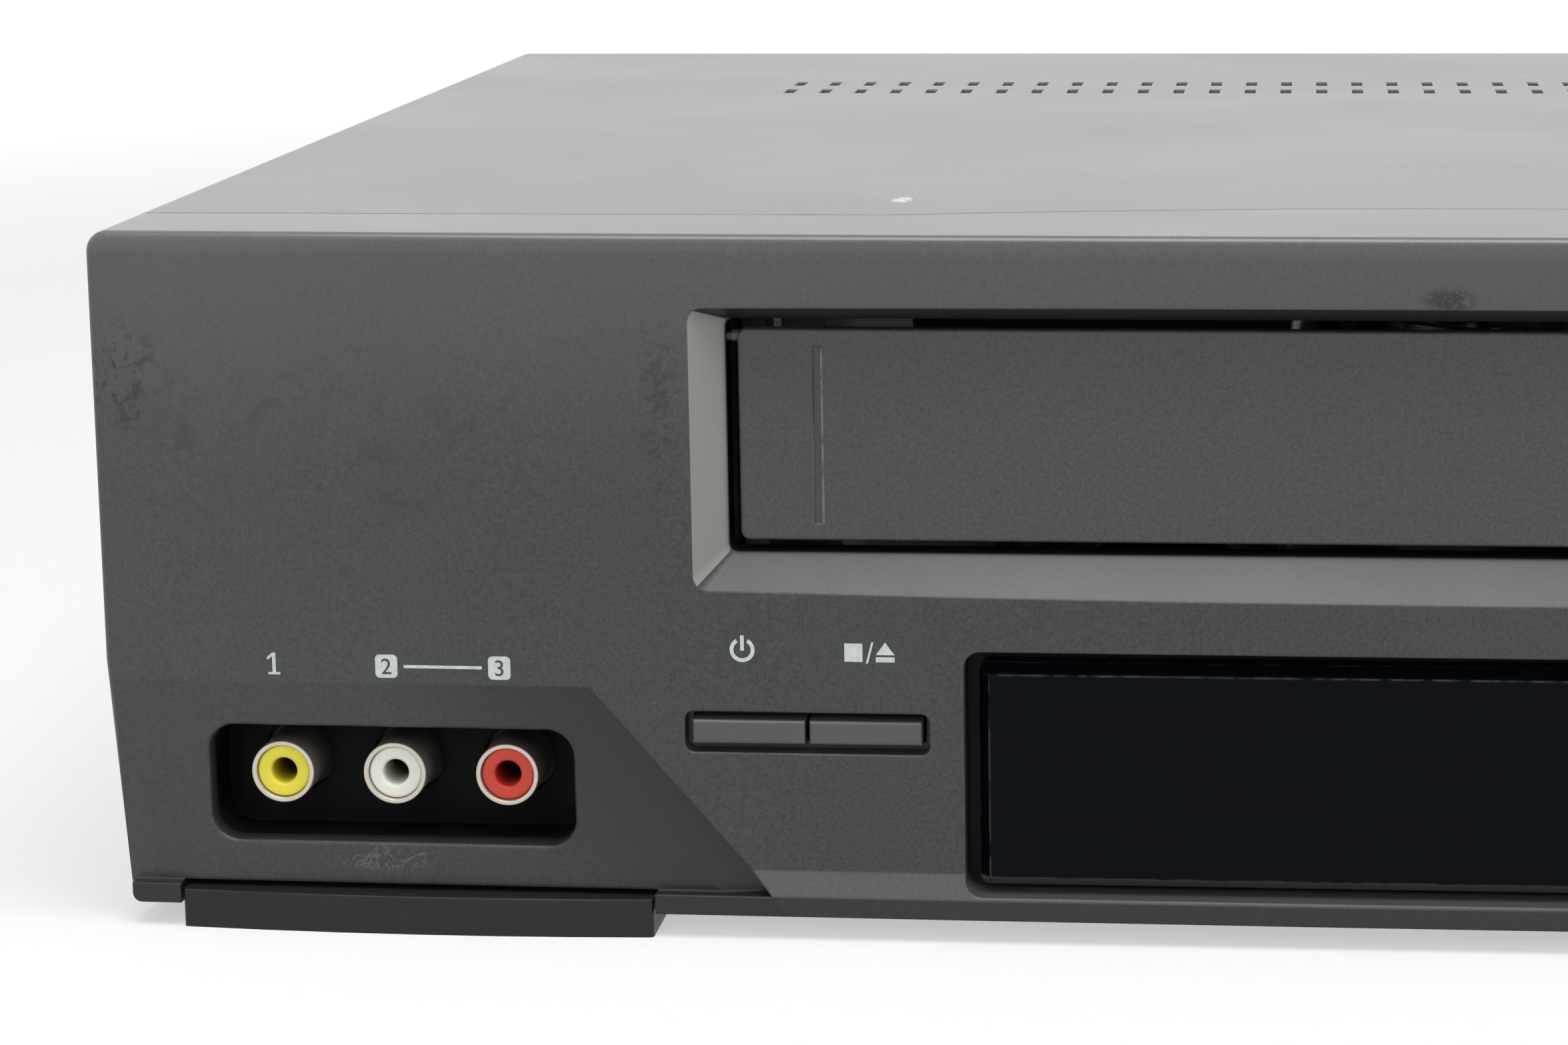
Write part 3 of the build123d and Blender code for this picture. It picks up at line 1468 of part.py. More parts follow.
with BuildPart() as idler_wheel:
    with BuildSketch(Plane.XY.offset(idler_arm_top + idler_play)):
        with Locations((0, reel_y)):
            Circle(idler_wheel_radius)
    extrude(amount=idler_wheel_height)
    chamfer(idler_wheel.edges(), length=idler_wheel_chamfer)
    with BuildSketch(Plane.XY.offset(idler_arm_top + idler_play)):
        with Locations((0, reel_y)):
            Circle(idler_axle_radius + slide_fit)
    extrude(amount=idler_wheel_height, mode=Mode.SUBTRACT)
keep(idler_wheel, "idler_wheel")

# ---------------------------------------------------------------- loading carriages and their rollers

carriage_bottom = deck_top + housing_gap
carriage_top = carriage_bottom + carriage_height
slant = radians(slant_post_angle)
for name, roller_name, side in (
    ("supply_carriage", "supply_roller", -1),
    ("take_up_carriage", "take_up_roller", 1),
):
    start_x = side * carriage_start_x
    roller_place = (start_x, carriage_start_y + roller_forward)
    with BuildPart() as carriage:
        with BuildSketch(Plane.XY.offset(carriage_bottom)):
            with Locations(Location((start_x, carriage_start_y, 0), (0, 0, side * carriage_angle))):
                RectangleRounded(carriage_length, carriage_width, carriage_corner)
        extrude(amount=carriage_height)
        # stem through the slot and the washer that holds it
        with BuildSketch(Plane.XY.offset(carriage_bottom)):
            with Locations((start_x, carriage_start_y)):
                Circle(carriage_stem_radius)
        extrude(amount=-(deck_sheet + 2 * housing_gap + carriage_washer_sheet))
        with BuildSketch(Plane.XY.offset(deck_height - housing_gap)):
            with Locations((start_x, carriage_start_y)):
                Circle(carriage_washer_radius)
        extrude(amount=-carriage_washer_sheet)
        # roller pin with its collar, and the slanted post beside it
        with BuildSketch(Plane.XY.offset(carriage_top)):
            with Locations(roller_place):
                Circle(roller_pin_radius)
        extrude(amount=post_top - carriage_top)
        with BuildSketch(Plane.XY.offset(carriage_top)):
            with Locations(roller_place):
                Circle(roller_collar_radius)
        extrude(amount=tape_bottom - housing_gap - carriage_top)
        slant_root = (start_x, carriage_start_y - slant_post_back, carriage_top - slant_post_root)
        with BuildSketch(Plane(origin=slant_root, z_dir=(0, -sin(slant), cos(slant)))):
            Circle(slant_post_radius)
        extrude(amount=(tape_top - carriage_top) / cos(slant))
    keep(carriage, name)

    with BuildPart() as roller:
        with BuildSketch(Plane.XY.offset(tape_bottom)):
            with Locations(roller_place):
                Circle(roller_radius)
                Circle(roller_pin_radius + slide_fit, mode=Mode.SUBTRACT)
        extrude(amount=tape_top - tape_bottom)
    keep(roller, roller_name)

# ---------------------------------------------------------------- fixed tape guides and heads

with BuildPart() as guide_posts:
    with BuildSketch(Plane.XY.offset(deck_top)):
        with Locations(*guide_post_places):
            Circle(guide_post_radius)
    extrude(amount=post_top - deck_top)
    for flange_z in (tape_bottom - guide_flange_height, tape_top):
        with BuildSketch(Plane.XY.offset(flange_z)):
            with Locations(*guide_post_places):
                Circle(guide_flange_radius)
        extrude(amount=guide_flange_height)
keep(guide_posts, "guide_posts")

with BuildPart() as erase_head:
    with BuildSketch(Plane.XY.offset(deck_top)):
        with Locations(erase_head_place):
            RectangleRounded(*erase_head_size, head_corner)
    extrude(amount=post_top - deck_top - erase_head_below_top)
keep(erase_head, "erase_head")

sound_head_front = (sound_head_place[0], sound_head_place[1] - sound_head_forward)
with BuildPart() as audio_control_head:
    with BuildSketch(Plane.XY.offset(deck_top)):
        with Locations(sound_head_place):
            Rectangle(*sound_head_base)
    extrude(amount=sound_head_base_height)
    with BuildSketch(Plane.XY.offset(deck_top + sound_head_base_height)):
        with Locations(sound_head_front):
            RectangleRounded(*sound_head_size, head_corner)
    extrude(amount=post_top - deck_top - sound_head_base_height)
keep(audio_control_head, "audio_control_head")

# ---------------------------------------------------------------- capstan, pinch arm and tension arm

bearing_bottom = flywheel_bottom + flywheel_height + flywheel_gap
bearing_top = deck_top + bearing_height
with BuildPart() as capstan_bearing:
    with BuildSketch(Plane.XY.offset(bearing_bottom)):
        with Locations((capstan_x, capstan_y)):
            Circle(bearing_radius)
    extrude(amount=bearing_top - bearing_bottom)
    with BuildSketch(Plane.XY.offset(deck_top)):
        with Locations((capstan_x, capstan_y)):
            Circle(bearing_flange_radius)
    extrude(amount=bearing_flange_height)
    with BuildSketch(Plane.XY.offset(bearing_bottom)):
        with Locations((capstan_x, capstan_y)):
            Circle(capstan_radius + slide_fit)
    extrude(amount=bearing_top - bearing_bottom, mode=Mode.SUBTRACT)
keep(capstan_bearing, "capstan_bearing")

with BuildPart() as capstan:
    with BuildSketch(Plane.XY.offset(flywheel_bottom)):
        with Locations((capstan_x, capstan_y)):
            Circle(flywheel_radius)
    extrude(amount=flywheel_height)
    with BuildSketch(Plane.XY.offset(flywheel_bottom)):
        with Locations((capstan_x, capstan_y)):
            Circle(flywheel_radius - flywheel_rim)
    extrude(amount=flywheel_hollow, mode=Mode.SUBTRACT)
    with BuildSketch(Plane.XY.offset(flywheel_bottom + flywheel_hollow)):
        with Locations((capstan_x, capstan_y)):
            Circle(capstan_radius)
    extrude(amount=post_top - flywheel_bottom - flywheel_hollow)
keep(capstan, "capstan")

with BuildPart() as capstan_stator:
    with BuildSketch(Plane.XY.offset(main_board_top)):
        with Locations((capstan_x, capstan_y)):
            Circle(flywheel_radius - flywheel_rim - stator_gap)
            Circle(stator_bore, mode=Mode.SUBTRACT)
    extrude(amount=flywheel_bottom + flywheel_hollow - stator_gap - main_board_top)
keep(capstan_stator, "capstan_stator")

# the arm is drawn closed on the capstan, then swung open about its pivot
pinch_pivot = (pinch_pivot_x, pinch_pivot_y)
pinch_closed = (pinch_closed_x, pinch_closed_y)
with BuildPart() as closed_arm:
    with BuildSketch(Plane.XY.offset(pinch_arm_bottom)):
        with Locations(pinch_pivot):
            Circle(pinch_hub_radius)
        with Locations(pinch_closed):
            Circle(pinch_collar_radius)
        make_hull()
        with Locations(pinch_pivot):
            Circle(reel_pin_radius + slide_fit, mode=Mode.SUBTRACT)
    extrude(amount=arm_sheet)
    with BuildSketch(Plane.XY.offset(pinch_arm_bottom)):
        with Locations(pinch_closed):
            Circle(pinch_axle_radius)
    extrude(amount=post_top - pinch_arm_bottom)
    with BuildSketch(Plane.XY.offset(pinch_arm_bottom)):
        with Locations(pinch_closed):
            Circle(pinch_collar_radius)
    extrude(amount=tape_bottom - pinch_play - pinch_arm_bottom)
pinch_axis = Axis((pinch_pivot_x, pinch_pivot_y, 0), (0, 0, 1))
with BuildPart() as pinch_arm:
    add(closed_arm.part.rotate(pinch_axis, -pinch_swing))
keep(pinch_arm, "pinch_arm")

with BuildPart() as closed_roller:
    with BuildSketch(Plane.XY.offset(tape_bottom)):
        with Locations(pinch_closed):
            Circle(pinch_roller_radius)
            Circle(pinch_axle_radius + slide_fit, mode=Mode.SUBTRACT)
    extrude(amount=tape_top - tape_bottom)
with BuildPart() as pinch_roller:
    add(closed_roller.part.rotate(pinch_axis, -pinch_swing))
keep(pinch_roller, "pinch_roller")

tension_pivot = (tension_pivot_x, tension_pivot_y)
tension_post = (tension_post_x, tension_post_y)
with BuildPart() as tension_arm:
    with BuildSketch(Plane.XY.offset(tension_arm_bottom)):
        with Locations(tension_pivot):
            Circle(arm_half_width)
        with Locations(tension_post):
            Circle(tension_tip_radius)
        make_hull()
        with Locations(tension_pivot):
            Circle(reel_pin_radius + slide_fit, mode=Mode.SUBTRACT)
    extrude(amount=arm_sheet)
    with BuildSketch(Plane.XY.offset(tension_arm_bottom)):
        with Locations(tension_post):
            Circle(tension_post_radius)
    extrude(amount=post_top - tension_arm_bottom)
keep(tension_arm, "tension_arm")

# ---------------------------------------------------------------- loading motor and gears

motor_bottom = main_board_top + motor_stand_off
with BuildPart() as loading_motor:
    with BuildSketch(Plane.XY.offset(motor_bottom)):
        with Locations((cam_x, pinion_y)):
            Circle(motor_radius)
    extrude(amount=deck_height - motor_bottom)
keep(loading_motor, "loading_motor")

with BuildPart() as motor_pinion:
    with BuildSketch(Plane.XY.offset(gear_bottom)):
        with Locations((cam_x, pinion_y)):
            add(gear_outline(pinion_teeth, 180 / pinion_teeth))
    extrude(amount=gear_height)
    with BuildSketch(Plane.XY.offset(gear_bottom)):
        with Locations((cam_x, pinion_y)):
            Circle(motor_shaft_radius)
    extrude(amount=-(gear_bottom - deck_height - housing_gap))
keep(motor_pinion, "motor_pinion")

cam_track_radius = cam_pitch_radius - cam_track_outer
with BuildPart() as cam_gear:
    with BuildSketch(Plane.XY.offset(gear_bottom)):
        with Locations((cam_x, cam_y)):
            add(gear_outline(cam_teeth, 90))
            Circle(reel_pin_radius + slide_fit, mode=Mode.SUBTRACT)
    extrude(amount=gear_height)
    # cam track in the upper face
    with BuildSketch(Plane.XY.offset(gear_bottom + gear_height)):
        with Locations((cam_x, cam_y)):
            Circle(cam_track_radius)
            Circle(cam_track_radius - cam_track_width, mode=Mode.SUBTRACT)
    extrude(amount=-cam_track_depth, mode=Mode.SUBTRACT)
keep(cam_gear, "cam_gear")

# ---------------------------------------------------------------- cassette lift

cage_height = cage_top - cassette_rest_z
cage_middle_z = (cassette_rest_z + cage_top) / 2
with BuildPart() as cassette_cage:
    with BuildSketch(facing(cage_rear)):
        with Locations((0, cage_middle_z)):
            Rectangle(2 * cage_outer, cage_height + 2 * cage_sheet)
            Rectangle(2 * cage_half_width, cage_height, mode=Mode.SUBTRACT)
        with Locations((0, cassette_rest_z - cage_sheet / 2)):
            Rectangle(2 * (cage_half_width - cage_ledge), cage_sheet, mode=Mode.SUBTRACT)
    extrude(amount=cage_depth)
    # stops that the cassette's leading corners meet
    with BuildSketch(facing(cage_rear)):
        with Locations((0, cage_middle_z)):
            with GridLocations(2 * cage_half_width - cage_ledge, 0, 2, 1):
                Rectangle(cage_ledge, cage_height)
    extrude(amount=cage_sheet)
    # windows in the top plate, each with a pressing tongue
    with BuildSketch(Plane.XY.offset(cage_top)):
        with Locations((-cage_window_x, lift_y), (cage_window_x, lift_y)):
            RectangleRounded(cage_window_width, cage_window_depth, cage_window_corner)
            Rectangle(cage_tongue_width, cage_tongue_length, mode=Mode.SUBTRACT)
    extrude(amount=cage_sheet, mode=Mode.SUBTRACT)
    with BuildSketch(Plane.XY.offset(cage_top)):
        with Locations((0, lift_y - cage_tongue_length / 2 - cage_tongue_root / 3)):
            with GridLocations(2 * cage_window_x, 0, 2, 1):
                Rectangle(cage_tongue_width, cage_tongue_root)
    extrude(amount=cage_sheet)
    # guide blocks that ride in the sliders' upright slots
    for side in (-1, 1):
        with BuildSketch(Plane.YZ.offset(side * cage_outer)):
            with Locations((lift_y, lift_z)):
                Rectangle(guide_block_width, guide_block_height)
        extrude(amount=side * (slider_side_gap + slider_thickness - guide_block_short))
keep(cassette_cage, "cassette_cage")

pin_places = ((lift_y - slider_pin_spread, lift_z), (lift_y + slider_pin_spread, lift_z))
with BuildPart() as lift_sliders:
    for side in (-1, 1):
        with BuildSketch(Plane.YZ.offset(side * slider_inner)):
            with Locations((lift_y, (slider_bottom + slider_top) / 2)):
                Rectangle(slider_width, slider_top - slider_bottom)
            with Locations((lift_y, lift_z - lift_drop / 2)):
                Rectangle(
                    guide_block_width + 2 * slide_fit,
                    guide_block_height + lift_drop + 4 * slide_fit,
                    mode=Mode.SUBTRACT,
                )
        extrude(amount=side * slider_thickness)
        with BuildSketch(Plane.YZ.offset(side * slider_outer)):
            with Locations(*pin_places):
                Circle(slider_pin_radius)
        extrude(amount=side * (side_plate_gap + side_plate_sheet + slider_pin_proud))
keep(lift_sliders, "lift_sliders")

slot_start = lift_y - slider_pin_spread - slider_pin_radius - 2 * slide_fit
slot_end = lift_y + slider_pin_spread + slider_pin_radius + lift_slide + 2 * slide_fit
with BuildPart() as lift_frame:
    for side in (-1, 1):
        with BuildSketch(Plane.YZ.offset(side * plate_inner)):
            with BuildLine():
                Polyline(
                    (deck_front, deck_top),
                    (side_plate_rear, deck_top),
                    (side_plate_rear, side_plate_top - side_plate_chamfer),
                    (side_plate_rear - side_plate_chamfer, side_plate_top),
                    (deck_front, side_plate_top),
                    close=True,
                )
            make_face()
            with Locations(((slot_start + slot_end) / 2, lift_z)):
                SlotOverall(
                    slot_end - slot_start, 2 * (slider_pin_radius + slide_fit), mode=Mode.SUBTRACT
                )
            with Locations(((deck_front + side_plate_rear) / 2, (deck_top + lift_z) / 2)):
                RectangleRounded(
                    side_window_length, side_window_height, side_window_corner, mode=Mode.SUBTRACT
                )
        extrude(amount=side * side_plate_sheet)
    # bridge across the top
    with BuildSketch(Plane.XY.offset(side_plate_top)):
        with Locations((0, bridge_front + bridge_width / 2)):
            Rectangle(2 * plate_outer, bridge_width)
            RectangleRounded(
                2 * plate_outer - 3 * bridge_rim,
                bridge_width - 2 * bridge_rim,
                side_window_corner,
                mode=Mode.SUBTRACT,
            )
    extrude(amount=side_plate_sheet)
keep(lift_frame, "lift_frame")
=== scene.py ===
# Looks for a front-loading video cassette recorder: finishes, printed marks, socket rims, light and camera.
import json
import math

import bpy
import numpy as np
from mathutils import Matrix, Vector


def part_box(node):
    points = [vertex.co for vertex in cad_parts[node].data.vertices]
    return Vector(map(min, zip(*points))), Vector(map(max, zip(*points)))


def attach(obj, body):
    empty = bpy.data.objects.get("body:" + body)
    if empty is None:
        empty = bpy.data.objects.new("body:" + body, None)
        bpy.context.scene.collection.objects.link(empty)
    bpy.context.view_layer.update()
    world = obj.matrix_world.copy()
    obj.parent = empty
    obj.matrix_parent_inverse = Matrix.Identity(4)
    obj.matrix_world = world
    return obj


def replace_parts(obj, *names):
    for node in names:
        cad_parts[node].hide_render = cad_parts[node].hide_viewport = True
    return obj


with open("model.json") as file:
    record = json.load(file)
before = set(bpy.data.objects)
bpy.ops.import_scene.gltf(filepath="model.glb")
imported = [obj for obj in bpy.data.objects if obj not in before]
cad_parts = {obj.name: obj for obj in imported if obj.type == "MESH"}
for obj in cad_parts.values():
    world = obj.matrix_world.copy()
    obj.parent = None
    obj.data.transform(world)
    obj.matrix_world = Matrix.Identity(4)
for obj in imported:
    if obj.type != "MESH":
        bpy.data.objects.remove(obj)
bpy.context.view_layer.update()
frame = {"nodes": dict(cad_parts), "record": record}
nodes = frame["nodes"]
scene = bpy.context.scene
scene.view_settings.view_transform = "Standard"
print("frame loaded:", len(nodes), "nodes")


# ---- shader helpers

class Signal:  # an output socket that takes part in sums
    def __init__(self, owner, socket):
        self.owner = owner
        self.socket = socket

    def maths(self, operation, *values):
        inputs = dict(enumerate(values))
        return self.owner.node("ShaderNodeMath", {"operation": operation}, inputs)

    def __add__(self, other):
        return self.maths("ADD", self, other)

    __radd__ = __add__

    def __sub__(self, other):
        return self.maths("SUBTRACT", self, other)

    def __rsub__(self, other):
        return self.maths("SUBTRACT", other, self)

    def __mul__(self, other):
        return self.maths("MULTIPLY", self, other)

    __rmul__ = __mul__

    def __truediv__(self, other):
        return self.maths("DIVIDE", self, other)

    def __pow__(self, other):
        return self.maths("POWER", self, other)

    def larger(self, other):
        return self.maths("MAXIMUM", self, other)

    def size(self):
        return self.maths("ABSOLUTE", self)

    def wave(self):
        return self.maths("SINE", self)

    def between(self, low, high):  # 0 below low, 1 above high, smooth from one to the other
        return self.owner.node(
            "ShaderNodeMapRange",
            {"interpolation_type": "SMOOTHSTEP"},
            {"Value": self, "From Min": low, "From Max": high},
        )

    def past(self, place, soft=0.0001):  # 0 before a place, 1 past it
        return self.between(place - soft, place + soft)


class Finish:  # one material and the nodes that colour it
    def __init__(self, name, tree=None):
        if tree is None:
            self.material = bpy.data.materials.new(name)
            self.material.use_nodes = True
            tree = self.material.node_tree
            self.shader = tree.nodes["Principled BSDF"]
        self.tree = tree

    def node(self, kind, settings=None, inputs=None, output=0):
        made = self.tree.nodes.new(kind)
        for key, value in (settings or {}).items():
            setattr(made, key, value)
        for key, value in (inputs or {}).items():
            self.put(made.inputs[key], value)
        return Signal(self, made.outputs[output])

    def put(self, socket, value):
        if isinstance(value, Signal):
            self.tree.links.new(value.socket, socket)
        elif isinstance(value, tuple) and len(value) == 3 and socket.type == "RGBA":
            socket.default_value = (*value, 1.0)
        else:
            socket.default_value = value

    def set(self, **values):  # sockets of the shader by name, words joined by _
        for key, value in values.items():
            self.put(self.shader.inputs[key.replace("_", " ")], value)

    def place(self):
        return self.node("ShaderNodeTexCoord", output="Object")

    def axes(self):
        apart = self.node("ShaderNodeSeparateXYZ", inputs={0: self.place()}).socket.node
        return [Signal(self, socket) for socket in apart.outputs]

    def stretched(self, scale):
        return self.node("ShaderNodeMapping", inputs={"Vector": self.place(), "Scale": scale})

    def noise(self, scale, detail=2.0, rough=0.5, at=None, bend=0.0):
        inputs = {"Vector": at or self.place(), "Scale": scale, "Detail": detail}
        inputs.update({"Roughness": rough, "Distortion": bend})
        return self.node("ShaderNodeTexNoise", inputs=inputs)

    def cells(self, scale, output="Distance"):
        inputs = {"Vector": self.place(), "Scale": scale}
        return self.node("ShaderNodeTexVoronoi", inputs=inputs, output=output)

    def mix(self, share, first, second, blend="MIX"):
        settings = {"data_type": "RGBA", "blend_type": blend}
        return self.node("ShaderNodeMix", settings, {0: share, 6: first, 7: second}, output=2)

    def bump(self, height, depth, strength=1.0, under=None):
        inputs = {"Height": height, "Distance": depth, "Strength": strength}
        if under is not None:
            inputs["Normal"] = under
        return self.node("ShaderNodeBump", inputs=inputs)

    def rounded(self, radius):  # normal of an edge as if it were rounded off
        return self.node("ShaderNodeBevel", {"samples": 4}, {"Radius": radius})

    def edges(self, rounding, low, high):  # 1 where the surface turns sharply
        flat = self.node("ShaderNodeNewGeometry", output="Normal")
        settings = {"operation": "DOT_PRODUCT"}
        along = self.node("ShaderNodeVectorMath", settings, {0: flat, 1: rounding}, output="Value")
        return (1 - along).between(low, high)

    def spot(self, at, reach, soft):  # 1 inside an ellipsoid about a place, fading outwards
        total = None
        for axis, middle, half in zip(self.axes(), at, reach):
            part = ((axis - middle) / half) ** 2
            total = part if total is None else total + part
        return 1 - total.between(1 - soft, 1 + soft)


# ---- plastics that show on the outside

def mouldedShell(name, look):
    # fine spark-eroded grain, slow mottling, rubbed edges and named marks
    made = Finish(name)
    grain = made.noise(look["grain"], 3.0, 0.6)
    speck = made.noise(look["grain"] * 0.5, 2.0, 0.7)
    cloud = made.noise(look["cloud"], 4.0, 0.55, bend=0.4)
    tone = (speck - 0.5) * look["speckle"] + (cloud - 0.5) * look["mottle"] + 0.5
    colour = made.mix(tone, look["dark"], look["light"])
    soft = made.rounded(look["round"])
    rub = made.edges(soft, 0.04, 0.3) * made.noise(90.0, 3.0).between(0.35, 0.7)
    colour = made.mix(rub * look["rub"], colour, look["worn"])
    # the look's shade function paints light and shade into the colour
    if "shade" in look:
        colour = look["shade"](made, colour)
    for mark in look.get("marks", ()):
        ragged = made.noise(mark["scale"], 5.0, 0.7, bend=1.5)
        if "hair" in mark:  # only thin lines where the noise passes its middle
            ragged = 1 - (ragged - 0.5).size().between(0.0, mark["hair"])
        else:
            ragged = ragged.between(*mark["cut"])
        share = made.spot(mark["at"], mark["reach"], 0.9) * ragged * mark["share"]
        colour = made.mix(share, colour, mark["colour"])
    rough = look["rough"] + (cloud - 0.5) * 0.16 + (grain - 0.5) * 0.1
    normal = made.bump(grain + speck * 0.6, look["relief"], look["strength"], soft)
    made.set(Base_Color=colour, Roughness=rough, Normal=normal, Specular_IOR_Level=look["shine"])
    if "hollow" in look:
        # a clear gloss on the top edge only; painted shade: the sunken jack plate, the tunnel and all else
        # sunk behind the face are mixed to dull black
        x, y, z = made.axes()
        hollow = look["hollow"]
        made.set(Coat_Weight=z.between(*look["coatFrom"]) * look["coat"], Coat_Roughness=look["coatRough"])
        inJacks = (1 - x.between(*hollow["jacksEnd"])) * y.between(*hollow["jacks"])
        inside = z.between(*hollow["floor"]) * (1 - z.between(*hollow["ceiling"]))
        inside = inside * (1 - x.size().between(*hollow["sides"]))
        shadedSunk = y.between(*hollow["behind"]).larger(inJacks) * inside
        shadeBlack = made.node("ShaderNodeBsdfDiffuse", inputs={"Color": hollow["tint"]})
        shell = Signal(made, made.shader.outputs[0])
        whole = made.node("ShaderNodeMixShader", inputs={0: shadedSunk * hollow["share"], 1: shell, 2: shadeBlack})
        made.put(made.tree.nodes["Material Output"].inputs["Surface"], whole)
    return made.material


frontZones = {  # places on the front in metres for painted light and shade, and how much of each tint they take
    "upwards": (0.055, 0.092), "upwardsShare": 0.33, "leftwards": (-0.18, -0.10), "leftwardsShare": 0.12,
    "paintedLightTint": (0.13, 0.135, 0.135), "paintedShadeTint": (0.006, 0.006, 0.006),
    "diagonal": 0.095, "slope": 0.865, "stripeTop": 0.009, "crease": 0.03305, "lipTop": 0.0058,
    "scoop": 0.036, "scoopShare": 0.85, "scoopTint": (0.006, 0.007, 0.007),
    "wingShadeShare": 0.2, "lipShadeShare": 0.78,
    "stripe": (0.15, 0.146, 0.13), "stripeShare": 0.3, "stripeEdge": 0.00905,
}
mouthFrame = {  # sag is 1 / (2 x radius of the bow), a mitre is how far its line runs down or up going out
    "halfWidth": 0.09775, "side": 0.0051, "low": 0.0503, "high": 0.0808,
    "lowMitre": 1.02, "highMitre": 0.44, "bottom": 0.0452, "top": 0.0830,
    "face": -0.1338, "back": -0.12885, "sag": 0.07406,
    # painted light on the upright sides, painted shade on the lower and upper sloping edges
    "paintedSideLight": (0.26, 0.26, 0.24), "paintedSideLightShare": 0.85, "lower": (0.012, 0.012, 0.012), "lowerShadeShare": 0.45,
    "upper": (0.006, 0.006, 0.006), "upperShadeShare": 0.85,
}


def frontShade(made, colour):
    # painted light: paler towards the top edge and the left end, and a pale stripe above the lip; painted
    # shade: dark beside the diagonals, on the wings and along the lip
    x, y, z = made.axes()
    front = frontZones
    paintedLight = z.between(*front["upwards"]) * front["upwardsShare"]
    paintedLight = paintedLight + (1 - x.between(*front["leftwards"])) * front["leftwardsShare"]
    colour = made.mix(paintedLight, colour, front["paintedLightTint"])
    beside = x.size() - (z - front["stripeTop"]) * front["slope"] - front["diagonal"]
    outside = beside.past(0.0, 0.0002)
    wing = outside * (1 - z.past(front["crease"], 0.00025))
    lip = 1 - z.past(front["lipTop"], 0.0002)
    # painted shade on the wing, darkest beside the diagonal step and fading outwards
    scooped = wing * (1 - beside.between(0.0, front["scoop"]))
    colour = made.mix(scooped * front["scoopShare"], colour, front["scoopTint"])
    # painted shade: the leaning wings and the front of the lip darkened towards black
    colour = made.mix(wing * front["wingShadeShare"] + lip * front["lipShadeShare"], colour, front["paintedShadeTint"])
    # painted light: the up-facing stripe above the lip made paler and warmer, as lit from above
    stripe = (1 - outside) * (1 - lip) * (1 - z.past(front["stripeEdge"], 0.00015))
    colour = made.mix(stripe * front["stripeShare"], colour, front["stripe"])
    # the frame of the mouth: its sides, between the mitres, are painted pale as light falling on them, and
    # its sloping edges painted dark as shade
    mouth = mouthFrame
    outward = x.size() - mouth["halfWidth"]
    beyond = outward.larger(0.0)
    depth = y - mouth["face"] - x * x * mouth["sag"]
    inFrame = depth.between(0.00003, 0.0001) * (1 - outward.past(mouth["side"]))
    inFrame = inFrame * (1 - y.past(mouth["back"], 0.00015))
    low = (z + beyond * mouth["lowMitre"]).past(mouth["low"])
    high = (z - beyond * mouth["highMitre"]).past(mouth["high"])
    lower = inFrame * (1 - low) * z.past(mouth["bottom"])
    upper = inFrame * high * (1 - z.past(mouth["top"]))
    upright = inFrame * outward.between(-0.0002, 0.0) * low * (1 - high)
    colour = made.mix(lower * mouth["lowerShadeShare"], colour, mouth["lower"])
    colour = made.mix(upper * mouth["upperShadeShare"], colour, mouth["upper"])
    return made.mix(upright * mouth["paintedSideLightShare"], colour, mouth["paintedSideLight"])


# a painted highlight along the grooves and painted shade on the hinge pins
doorLines = {
    "groove": 0.08555, "line": (0.00008, 0.00022), "low": 0.0541, "high": 0.0770, "share": 0.75,
    "worn": (0.26, 0.26, 0.25), "ends": 0.0970, "pin": (0.006, 0.006, 0.006),
}


def doorShade(made, colour):
    # a painted highlight along the edge of each groove, broken up by noise; painted shade darkens the pins
    # beyond the ends
    x, z = made.axes()[::2]
    line = 1 - (x.size() - doorLines["groove"]).size().between(*doorLines["line"])
    line = line * z.past(doorLines["low"], 0.0002) * (1 - z.past(doorLines["high"], 0.0002))
    line = line * made.noise(500.0, 3.0).between(0.25, 0.6)
    colour = made.mix(line * doorLines["share"], colour, doorLines["worn"])
    return made.mix(x.size().past(doorLines["ends"]), colour, doorLines["pin"])


